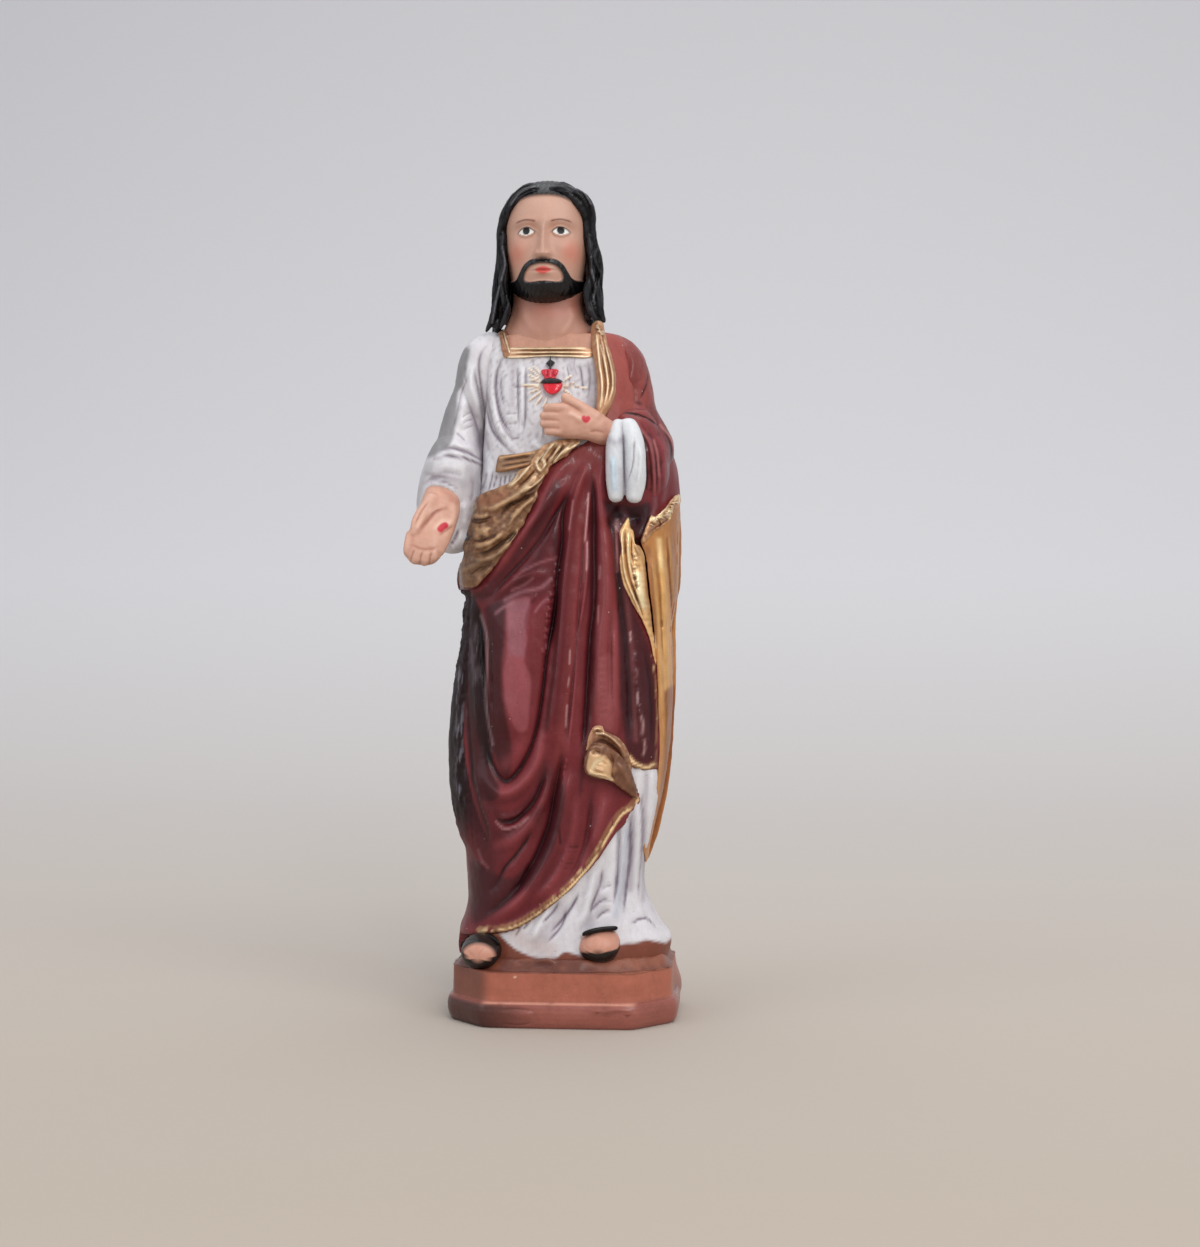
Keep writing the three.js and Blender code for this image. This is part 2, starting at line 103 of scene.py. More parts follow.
def nearestOn(line, at):
    start, step = line[:-1].astype(np.float32), np.diff(line, axis=0).astype(np.float32)
    length = np.maximum(np.hypot(*step.T), 1e-6)
    before = np.concatenate([[0], np.cumsum(length)])
    away, along, side = np.empty((3, len(at)))
    for first in range(0, len(at), 8000):
        rows = slice(first, first + 8000)
        offX = at[rows, 0, None].astype(np.float32) - start[:, 0]
        offY = at[rows, 1, None].astype(np.float32) - start[:, 1]
        share = np.clip((offX * step[:, 0] + offY * step[:, 1]) / length ** 2, 0, 1)
        offX -= share * step[:, 0]
        offY -= share * step[:, 1]
        apart = offX ** 2 + offY ** 2
        k = apart.argmin(1)
        pick = np.arange(len(k))
        away[rows] = np.sqrt(apart[pick, k])
        along[rows] = before[k] + share[pick, k] * length[k]
        side[rows] = np.sign(step[k, 0] * offY[pick, k] - step[k, 1] * offX[pick, k])
    return away, along, before[-1], side


def signedDepth(line, at):
    away = nearestOn(line, at)[0] / pixelsPerMm
    inside = np.zeros(len(at), bool)
    for (ax, ay), (bx, by) in zip(line[:-1], line[1:]):
        crosses = (ay > at[:, 1]) != (by > at[:, 1])
        inside ^= crosses & (at[:, 0] < (bx - ax) * (at[:, 1] - ay) / (by - ay + 1e-12) + ax)
    return np.where(inside, away, -away)


# How far inside an outline, in millimetres. It is worked out on a grid once and read between its points.
def depthIn(outline, at, parts=4, spacing=2.0):
    line = curveThrough(outline + outline[:1], parts)
    low, high = line.min(0) - 12, line.max(0) + 12
    countX, countY = (np.ceil((high - low) / spacing)).astype(int) + 1
    gridX, gridY = np.meshgrid(low[0] + spacing * np.arange(countX), low[1] + spacing * np.arange(countY))
    held = signedDepth(line, np.stack([gridX.ravel(), gridY.ravel()], 1)).reshape(countY, countX)
    x = np.clip((at[:, 0] - low[0]) / spacing, 0, countX - 1.001)
    y = np.clip((at[:, 1] - low[1]) / spacing, 0, countY - 1.001)
    i, j = y.astype(int), x.astype(int)
    u, v = x - j, y - i
    return ((held[i, j] * (1 - u) + held[i, j + 1] * u) * (1 - v)
        + (held[i + 1, j] * (1 - u) + held[i + 1, j + 1] * u) * v)


# Carved lines. Each is (kind, height, width, points...) in millimetres, with its points where the
# photograph shows them. A fold is round and gets painted highlight, a crease is sharp and painted dark
# as shade, a lap has a high side with painted shade at its foot and painted highlight on its edge.
def relief(lines, at):
    height, dark, light = np.zeros((3, len(at)))
    for kind, tall, wide, *points in lines:
        line = curveThrough(points, 8)
        reach = (7 if kind == "lap" else 3.5) * wide * pixelsPerMm
        near = np.flatnonzero(((at > line.min(0) - reach) & (at < line.max(0) + reach)).all(1))
        near = near[nearestOn(np.array(points, float), at[near])[0] < reach + 5]
        if not len(near):
            continue
        away, along, total, side = nearestOn(line, at[near])
        away /= pixelsPerMm
        taper = min(0.3 * total, 8 * pixelsPerMm)
        fade = ease(0, taper, along) * ease(total, total - taper, along)
        if kind == "fold":
            form = bell(away / wide) * fade
            light[near] += form
        elif kind == "crease":
            form = np.exp(-away / wide) * fade
            dark[near] += bell(away / (0.7 * wide)) * fade * min(1, abs(tall))
            form = -form
        else:
            signed = away * side
            form = ease(-0.2, 0.25, signed) * np.exp(-np.maximum(signed, 0) / (2 * wide)) * fade
            dark[near] += bell((signed + 0.25) / 0.3) * fade
            light[near] += bell((signed - 0.35) / 0.35) * fade
        height[near] += tall * form
    return height, dark, light


# Meshes
def deselect():
    bpy.ops.object.select_all(action="DESELECT")


def pointsOf(piece):
    flat = np.empty(len(piece.data.vertices) * 3, np.float32)
    piece.data.vertices.foreach_get("co", flat)
    return flat.reshape(-1, 3).astype(float) / mm


def setPoints(piece, points):
    piece.data.vertices.foreach_set("co", (points * mm).astype(np.float32).ravel())
    piece.data.update()


def normalsOf(piece):
    flat = np.empty(len(piece.data.vertices) * 3, np.float32)
    piece.data.vertex_normals.foreach_get("vector", flat)
    return flat.reshape(-1, 3).astype(float)


# A sheet of mesh rolled into a closed skin. place gives each point from its height share and its turn.
def rolledPiece(name, sides, rows, place):
    deselect()
    bpy.ops.mesh.primitive_grid_add(x_subdivisions=sides, y_subdivisions=rows, size=2)
    piece = bpy.context.object
    piece.name = name
    piece.data.name = name
    sheet = pointsOf(piece) * mm
    setPoints(piece, place((sheet[:, 1] + 1) / 2, sheet[:, 0] * math.pi))
    bpy.ops.object.mode_set(mode="EDIT")
    bpy.ops.mesh.select_all(action="SELECT")
    bpy.ops.mesh.remove_doubles(threshold=1e-6)
    bpy.ops.object.mode_set(mode="OBJECT")
    bpy.ops.object.shade_smooth()
    return piece


def limbPlace(stops, across=(1, 0, 0), cap=0.05, capLength=0.7):
    line = curveThrough([s[:3] for s in stops], 16)
    sizes = curveThrough([s[3:] for s in stops], 16)
    run = np.concatenate([[0], np.cumsum(np.linalg.norm(np.diff(line, axis=0), axis=1))])
    run /= run[-1]
    direction = np.gradient(line, axis=0)
    direction /= np.linalg.norm(direction, axis=1)[:, None]
    wide = np.array(across, float) - direction * (direction @ np.array(across, float))[:, None]
    wide /= np.linalg.norm(wide, axis=1)[:, None]
    deep = np.cross(direction, wide)

    def place(upward, turn):
        share = np.clip((upward - cap) / (1 - 2 * cap), 0, 1)
        read = lambda table: np.stack([np.interp(share, run, column) for column in table.T], 1)
        at, size = read(line), read(sizes)
        beyond = np.where(upward < cap, upward / cap, np.where(upward > 1 - cap, (1 - upward) / cap, 1))
        angle = np.clip(beyond, 0, 1) * math.pi / 2
        sign = np.where(upward < cap, -1, 1)
        at = at + read(direction) * (sign * np.cos(angle) * size.mean(1) * capLength)[:, None]
        shrink = np.sin(angle)[:, None]
        sideways = read(wide) * (size[:, 0] * np.cos(turn))[:, None] * shrink
        inward = read(deep) * (size[:, 1] * np.sin(turn))[:, None] * shrink
        return at + sideways + inward + shift
    return place


def neighbourMean(piece, values, rounds):
    pairs = np.empty(len(piece.data.edges) * 2, np.int32)
    piece.data.edges.foreach_get("vertices", pairs)
    a, b = pairs.reshape(-1, 2).T
    count = len(values)
    total = np.bincount(a, minlength=count) + np.bincount(b, minlength=count)
    columns = values.reshape(count, -1).copy()
    for _ in range(rounds):
        for k in range(columns.shape[1]):
            column = columns[:, k]
            summed = np.bincount(a, column[b], count) + np.bincount(b, column[a], count)
            columns[:, k] = 0.5 * column + 0.5 * summed / total
    return columns.reshape(values.shape)


def hollows(piece, rounds):
    points = pointsOf(piece)
    return ((neighbourMean(piece, points, rounds) - points) * normalsOf(piece)).sum(1)


def wobble(points, size, seed):
    random = np.random.default_rng(seed)
    total = np.zeros(len(points))
    for _ in range(9):
        heading = random.normal(size=3)
        heading *= random.uniform(0.6, 1.6) * 2 * math.pi / size / np.linalg.norm(heading)
        total += np.sin(points @ heading + random.uniform(0, 6.28))
    return total / 4


def towardsEye(points):
    rays = eye - points
    return rays / np.linalg.norm(rays, axis=1)[:, None]


def carve(piece, front=(), back=(), hand=0.06, seed=1):
    points = pointsOf(piece)
    normals = normalsOf(piece)
    rays = towardsEye(points)
    facing = (normals * rays).sum(1)
    height, dark, light = relief(front, seen(points))
    weight = ease(0.02, 0.4, facing)
    behind = np.stack([points[:, 0], points[:, 2]], 1) * pixelsPerMm
    scaled = [[*line[:3], *[(x * pixelsPerMm, z * pixelsPerMm) for x, z in line[3:]]] for line in back]
    backHeight, backDark, backLight = relief(scaled, behind)
    backWeight = ease(0.05, 0.5, normals[:, 1])
    moved = rays * (height * weight)[:, None] + np.array([0, 1, 0]) * (backHeight * backWeight)[:, None]
    rough = hand * (wobble(points, 5, seed) + 0.5 * wobble(points, 1.8, seed + 50))
    setPoints(piece, points + moved + normals * rough[:, None])
    return dark * weight + backDark * backWeight, light * weight + backLight * backWeight


def paint(piece, shade, metal=0, rough=0.4):
    count = len(piece.data.vertices)
    shades = np.ones((count, 4), np.float32)
    shades[:, :3] = np.clip(np.broadcast_to(shade, (count, 3)), 0, 1)
    layer = piece.data.color_attributes.new("paint", "FLOAT_COLOR", "POINT")
    layer.data.foreach_set("color", shades.ravel())
    for name, value in (("metal", metal), ("rough", rough)):
        held = piece.data.attributes.new(name, "FLOAT", "POINT")
        held.data.foreach_set("value", np.broadcast_to(value, count).astype(np.float32).copy())


# Finishes
def node(tree, kind, values=(), **settings):
    made = tree.nodes.new("ShaderNode" + kind)
    for key, value in settings.items():
        setattr(made, key, value)
    for key, value in dict(values).items():
        if isinstance(value, bpy.types.NodeSocket):
            tree.links.new(value, made.inputs[key])
        else:
            made.inputs[key].default_value = value
    return made


def castFinish(name, mottle=0.12, mottleSize=3.0, stretch=0.4, grain=0.05, grainSize=0.5, pits=0.0,
        glintSpecks=0.0, coat=0.2, coatRough=0.25, roughSpread=0.12, specular=0.3):
    material = bpy.data.materials.new(name)
    material.use_nodes = True
    tree = material.node_tree
    shader = tree.nodes["Principled BSDF"]
    place = node(tree, "TexCoord").outputs["Object"]
    drawn = node(tree, "Mapping", {"Vector": place, "Scale": (1, 1, stretch)}).outputs["Vector"]
    broad = node(tree, "TexNoise", {"Vector": drawn, "Scale": 1 / (mottleSize * mm), "Detail": 5.0,
        "Roughness": 0.6}).outputs["Fac"]
    fine = node(tree, "TexNoise", {"Vector": place, "Scale": 1 / (grainSize * mm), "Detail": 3.0,
        "Roughness": 0.6}).outputs["Fac"]
    painted = node(tree, "Attribute", attribute_name="paint").outputs["Color"]
    value = node(tree, "MapRange", {"Value": broad, "From Min": 0.3, "From Max": 0.7, "To Min": 1 - mottle,
        "To Max": 1 + mottle}).outputs["Result"]
    speckle = node(tree, "MapRange", {"Value": fine, "From Min": 0.35, "From Max": 0.65,
        "To Min": 1 - 0.35 * mottle, "To Max": 1 + 0.35 * mottle}).outputs["Result"]
    strength = node(tree, "Math", {0: value, 1: speckle}, operation="MULTIPLY").outputs[0]
    shade = node(tree, "VectorMath", {0: painted, 1: strength}, operation="MULTIPLY").outputs[0]
    # Small pale specks painted into the colour as tiny painted glints
    if glintSpecks:
        cells = node(tree, "TexVoronoi", {"Vector": place, "Scale": 1 / (2.3 * mm)})
        chosen = node(tree, "MapRange", {"Value": node(tree, "SeparateColor",
            {0: cells.outputs["Color"]}).outputs[0], "From Min": 1 - glintSpecks,
            "From Max": 1.02 - glintSpecks}).outputs["Result"]
        near = node(tree, "MapRange", {"Value": cells.outputs["Distance"], "From Min": 0.09,
            "From Max": 0.05, "To Min": 0.0, "To Max": 1.0}).outputs["Result"]
        glintSpeck = node(tree, "Math", {0: chosen, 1: near}, operation="MULTIPLY").outputs[0]
        shade = node(tree, "Mix", {0: glintSpeck, 6: shade, 7: (0.5, 0.4, 0.4, 1)}, data_type="RGBA").outputs[2]
    tree.links.new(shade, shader.inputs["Base Color"])
    tree.links.new(node(tree, "Attribute", attribute_name="metal").outputs["Fac"],
        shader.inputs["Metallic"])
    worn = node(tree, "MapRange", {"Value": broad, "From Min": 0.3, "From Max": 0.7,
        "To Min": -roughSpread, "To Max": roughSpread}).outputs["Result"]
    rough = node(tree, "Attribute", attribute_name="rough").outputs["Fac"]
    tree.links.new(node(tree, "Math", {0: rough, 1: worn}, operation="ADD", use_clamp=True).outputs[0],
        shader.inputs["Roughness"])
    bump = node(tree, "Bump", {"Height": fine, "Strength": 1.0, "Distance": grain * mm})
    swell = node(tree, "Bump", {"Height": broad, "Strength": 1.0, "Distance": 2 * grain * mm,
        "Normal": bump.outputs["Normal"]})
    last = swell.outputs["Normal"]
    if pits:
        cells = node(tree, "TexVoronoi", {"Vector": place, "Scale": 1 / (2.6 * mm)}).outputs["Distance"]
        hole = node(tree, "MapRange", {"Value": cells, "From Min": 0.05, "From Max": 0.11, "To Min": 0.0,
            "To Max": 1.0}).outputs["Result"]
        last = node(tree, "Bump", {"Height": hole, "Strength": 1.0, "Distance": pits * mm,
            "Normal": last}).outputs["Normal"]
    tree.links.new(last, shader.inputs["Normal"])
    shader.inputs["Specular IOR Level"].default_value = specular
    shader.inputs["Coat Weight"].default_value = coat
    shader.inputs["Coat Roughness"].default_value = coatRough
    return material


def finishPiece(piece, material, replaces="statue"):
    piece.data.materials.append(material)
    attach(piece, "root")
    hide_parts(replaces)
    return piece


finishes = {
    "robe": castFinish("robePaint", mottle=0.09, mottleSize=2.6, grain=0.035, pits=0.08, coat=0.06,
        coatRough=0.35),
    "mantle": castFinish("mantlePaint", mottle=0.16, mottleSize=5, stretch=0.25, grain=0.02, pits=0.06,
        glintSpecks=0.12, coat=0.09, coatRough=0.12, specular=0.2),
    "gold": castFinish("goldPaint", mottle=0.14, mottleSize=2.2, stretch=0.35, grain=0.035,
        grainSize=0.35, coat=0.1),
    "skin": castFinish("skinPaint", mottle=0.05, mottleSize=5, grain=0.015, coat=0.12, coatRough=0.4),
    "hair": castFinish("hairPaint", mottle=0.3, mottleSize=1.5, grain=0.03, grainSize=0.4, coat=0.1,
        coatRough=0.16, specular=0.1),
    "plinth": castFinish("plinthPaint", mottle=0.12, mottleSize=7, stretch=1.5, grain=0.03, pits=0.06,
        coat=0.25, coatRough=0.3)}
print("finishes ready")

# Room: a pale sheet that sweeps up behind the statue, and soft light
room = {"floor": colour(176, 164, 151), "wall": colour(216, 214, 216), "sweepStart": 0.45,
    "sweepRise": 1.1, "halfWidth": 1.6, "front": -0.9, "length": 3.4, "tintFrom": -0.15, "tintTo": 1.1,
    "roughness": 0.8, "fleckScale": 900.0, "fleckStrength": 0.2, "fleckHeight": 0.0002}
# Each lamp is (name, size, power, place, tint), in metres and watts
lights = {"sky": (0.93, 0.96, 1.0), "skyStrength": 0.62, "target": (0, 0, 0.1), "lamps": [
    ("windowLight", 0.9, 9.0, (0.75, -0.9, 0.95), (1, 0.98, 0.95)),
    ("fillLight", 0.8, 3.0, (-0.9, -0.7, 0.5), (0.92, 0.96, 1)),
    ("ceilingLight", 1.2, 7.0, (0.0, 0.1, 1.4), (1, 1, 1)),
    ("glintLight", 0.12, 1.2, (0.25, -0.8, 0.5), (1, 1, 1))]}


def makeRoom():
    deselect()
    bpy.ops.mesh.primitive_grid_add(x_subdivisions=2, y_subdivisions=80, size=2)
    sheet = bpy.context.object
    sheet.name = "paperSweep"
    points = pointsOf(sheet) * mm
    run = (points[:, 1] + 1) / 2 * room["length"] + room["front"]
    over = np.clip(run - room["sweepStart"], 0, None)
    angle = np.clip(over / room["sweepRise"], 0, math.pi / 2)
    points[:, 0] *= room["halfWidth"]
    points[:, 1] = np.minimum(run, room["sweepStart"]) + room["sweepRise"] * np.sin(angle)
    past = np.clip(over - room["sweepRise"] * math.pi / 2, 0, None)
    points[:, 2] = room["sweepRise"] * (1 - np.cos(angle)) + past
    setPoints(sheet, points / mm)
    bpy.ops.object.shade_smooth()
    material = bpy.data.materials.new("palePaper")
    material.use_nodes = True
    tree = material.node_tree
    place = node(tree, "TexCoord").outputs["Object"]
    apart = node(tree, "SeparateXYZ", {0: place})
    # Painted shading of the one paper sheet: darker and warmer on the floor, lighter up the wall
    run = node(tree, "Math", {0: apart.outputs["Y"], 1: apart.outputs["Z"]}, operation="ADD").outputs[0]
    share = node(tree, "MapRange", {"Value": run, "From Min": room["tintFrom"],
        "From Max": room["tintTo"]}).outputs["Result"]
    tint = node(tree, "Mix", {"Factor": share}, data_type="RGBA")
    tint.inputs["A"].default_value = (*room["floor"], 1)
    tint.inputs["B"].default_value = (*room["wall"], 1)
    shader = tree.nodes["Principled BSDF"]
    tree.links.new(tint.outputs["Result"], shader.inputs["Base Color"])
    fleck = node(tree, "TexNoise", {"Vector": place, "Scale": room["fleckScale"], "Detail": 2.0})
    bump = node(tree, "Bump", {"Height": fleck.outputs["Fac"], "Strength": room["fleckStrength"],
        "Distance": room["fleckHeight"]})
    tree.links.new(bump.outputs["Normal"], shader.inputs["Normal"])
    shader.inputs["Roughness"].default_value = room["roughness"]
    sheet.data.materials.append(material)


def addLight(name, size, power, place, tint):
    deselect()
    bpy.ops.object.light_add(type="AREA", location=place)
    lamp = bpy.context.object
    lamp.name = name
    lamp.data.size = size
    lamp.data.energy = power
    lamp.data.color = tint
    aim = np.array(lights["target"]) - np.array(place)
    lamp.rotation_euler = (math.atan2(math.hypot(aim[0], aim[1]), -aim[2]), 0,
        math.atan2(aim[0], -aim[1]) + math.pi)


def makeLight():
    world = bpy.data.worlds.new("softRoom")
    bpy.context.scene.world = world
    world.use_nodes = True
    back = world.node_tree.nodes["Background"]
    back.inputs["Color"].default_value = (*lights["sky"], 1)
    back.inputs["Strength"].default_value = lights["skyStrength"]
    for lamp in lights["lamps"]:
        addLight(*lamp)


def makeCamera():
    bpy.ops.object.camera_add(location=eye * mm, rotation=(math.pi / 2, 0, photo["turn"] * degrees))
    camera = bpy.context.object
    camera.data.lens = photo["lens"]
    camera.data.sensor_width = photo["sensor"]
    bpy.context.scene.camera = camera
    bpy.context.scene.view_settings.view_transform = "Standard"


makeCamera()
makeRoom()
makeLight()
print("camera, room and light ready")

# The dressed body, as reach to the figure's right, left, front and back at each height
bodyReach = tableReader([[11, 24.2, 25.2, 18.0, 18.5], [18, 23.4, 25.4, 17.2, 18.0],
    [22, 22.8, 23.0, 16.8, 17.8], [27, 22.3, 21.0, 16.4, 17.6], [33, 22.2, 20.2, 16.2, 17.6],
    [42, 22.3, 20.8, 16.2, 18.0], [55, 22.6, 21.6, 16.6, 18.6], [75, 23.0, 22.2, 17.0, 18.6],
    [95, 23.4, 21.8, 16.6, 18.2], [103, 25.0, 21.6, 16.2, 18.0], [112, 24.4, 21.0, 15.6, 17.6],
    [120, 21.8, 20.4, 15.0, 17.0], [128, 20.5, 20.0, 14.2, 16.4], [136, 20.0, 19.6, 13.4, 15.6],
    [146, 19.5, 18.8, 12.6, 14.8], [153, 19.6, 17.8, 11.4, 13.6], [158, 20.0, 16.4, 9.8, 12.2],
    [161.5, 18.4, 14.4, 8.4, 10.8], [164, 14.4, 11.4, 6.6, 9.0]])
# How far the hanging cloak stands out on the figure's right and left at each height
cloakReach = tableReader([[11, 1.6, 0.0], [17, 2.0, 0.0], [20.6, 2.0, 0.0], [24.2, 1.0, 0.0],
    [28, 0.6, 0.0], [33, 1.0, 0.0], [38.6, 1.5, 0.2], [42, 3.2, 0.6], [46, 4.5, 1.3], [54, 5.7, 2.7],
    [66, 5.7, 3.9], [80, 3.9, 4.3], [86, 2.6, 4.4], [92, 1.4, 4.3], [97, 0.4, 5.1], [99.6, -1.3, 5.7],
    [101.6, 0.3, 6.0], [112, 0.0, 6.9], [122, 0.0, 7.9], [130, 0.0, 7.6], [136, 0.0, 5.8], [141, 0.0, 2.0],
    [146, 0.0, 0.0]])
bodyShape = {"squareness": 2.3, "rightEdge": (166, 11, 34), "leftEdge": (8, 40, 13)}


def bodyRadius(turn, height, cloak=1):
    right, left, front, back = bodyReach(height)
    cloakRight, cloakLeft = cloakReach(height)
    c, s = np.cos(turn), np.sin(turn)
    wide = np.abs(c) / np.where(c < 0, right, left)
    deep = np.abs(s) / np.where(s < 0, front, back)
    square = bodyShape["squareness"]
    radius = (wide ** square + deep ** square) ** (-1 / square)
    for reach, (middle, below, above) in ((cloakRight, bodyShape["rightEdge"]),
            (cloakLeft, bodyShape["leftEdge"])):
        off = (turn / degrees - middle + 180) % 360 - 180
        radius = radius + cloak * reach * bell(off / np.where(off > 0, above, below))
    return radius


def around(turn, height, radius):
    return np.stack([radius * np.cos(turn), radius * np.sin(turn), height], 1) + shift


def onto(at, standOff=0.0, cloak=0):
    rays = (viewForward + np.outer((at[:, 0] - photo["width"] / 2) / focalPixels, viewRight)
        + np.outer((photo["height"] / 2 - at[:, 1]) / focalPixels, [0, 0, 1]))
    near = np.full(len(at), photo["distance"] - 40.0)
    far = np.full(len(at), photo["distance"] + 3.0)
    for _ in range(22):
        middle = (near + far) / 2
        p = eye + rays * middle[:, None] - shift
        out = np.hypot(p[:, 0], p[:, 1]) > bodyRadius(np.arctan2(p[:, 1], p[:, 0]), p[:, 2], cloak)
        near = np.where(out, middle, near)
        far = np.where(out, far, middle)
    return eye + rays * (near - standOff)[:, None]


# Turns brought closer together in front, where the carving is finest
def crowded(turn, crowd):
    part = (turn / (2 * math.pi) + 0.25) % 1
    return -math.pi / 2 + 2 * math.pi * part - crowd * np.sin(2 * math.pi * part)


def bodyPiece(name, sides, rows, levels, offset, crowd=0.45, cloak=1):
    heights = np.array([level[1] for level in levels])
    shares = np.array([level[0] for level in levels])

    def place(upward, turn):
        height = np.interp(upward, shares, heights)
        bent = crowded(turn, crowd)
        lid = np.clip(np.minimum(upward, 1 - upward) * rows / 3, 0, 1)
        radius = bodyRadius(bent, height, cloak)
        first = around(bent, height, radius)
        radius = radius + offset(first, bent, height)
        second = around(bent, height, radius)
        radius = bodyRadius(bent, height, cloak) + offset(second, bent, height)
        return around(bent, height, radius * lid)
    return rolledPiece(name, sides, rows, place)


# The mantle: what it covers in front, seen from the camera, and behind
mantleFront = [(588, 442), (574, 449), (557, 462), (547, 473), (536, 492), (525, 520), (512, 544),
    (499, 562), (486, 577), (475, 588), (462, 592), (450, 592), (400, 592), (400, 800), (400, 925),
    (440, 930), (475, 934), (491, 933.5), (508, 931.5), (524, 924), (540, 914.5), (556, 901.5), (571, 887),
    (576, 880), (588, 866), (595, 856), (602, 844.5), (608, 834), (616.5, 824), (622, 813), (628, 807),
    (631.5, 799), (628, 786), (624, 771), (626, 764), (632, 767), (638, 769), (645, 770.5), (654, 768),
    (656, 763), (657.5, 740), (658, 715), (657, 685), (654, 664), (646, 640), (638, 615), (630, 596),
    (620, 566), (617, 540), (618, 528), (628, 519), (640, 540), (652, 517), (680, 490), (720, 480),
    (720, 300), (597, 300), (600, 330), (605, 350), (610, 370), (611, 390), (606, 410), (600, 428)]
mantleBack = {"topHigh": (3, 163), "topLow": (-25, 101), "hemRight": (-24, 14), "hemLeft": (20, 36)}
mantleThickness, mantleSunk = 0.1, -2.6


def lineDepth(x, z, first, second):
    slope = (second[1] - first[1]) / (second[0] - first[0])
    return (z - first[1] - slope * (x - first[0])) / math.hypot(1, slope)


def mantleDepth(points, turn):
    front = depthIn(mantleFront, seen(points))
    x, z = points[:, 0], points[:, 2]
    below = -lineDepth(x, z, mantleBack["topHigh"], mantleBack["topLow"])
    above = lineDepth(x, z, mantleBack["hemRight"], mantleBack["hemLeft"])
    behind = np.sin(turn) - 0.25 * ease(85, 72, z) * (np.cos(turn) > 0)
    share = ease(-0.12, 0.12, behind)
    return front * (1 - share) + np.minimum(below, above) * share


def mantleOffset(points, turn, height):
    share = ease(-0.45, 0.2, mantleDepth(points, turn))
    return mantleSunk * (1 - share) + mantleThickness * share


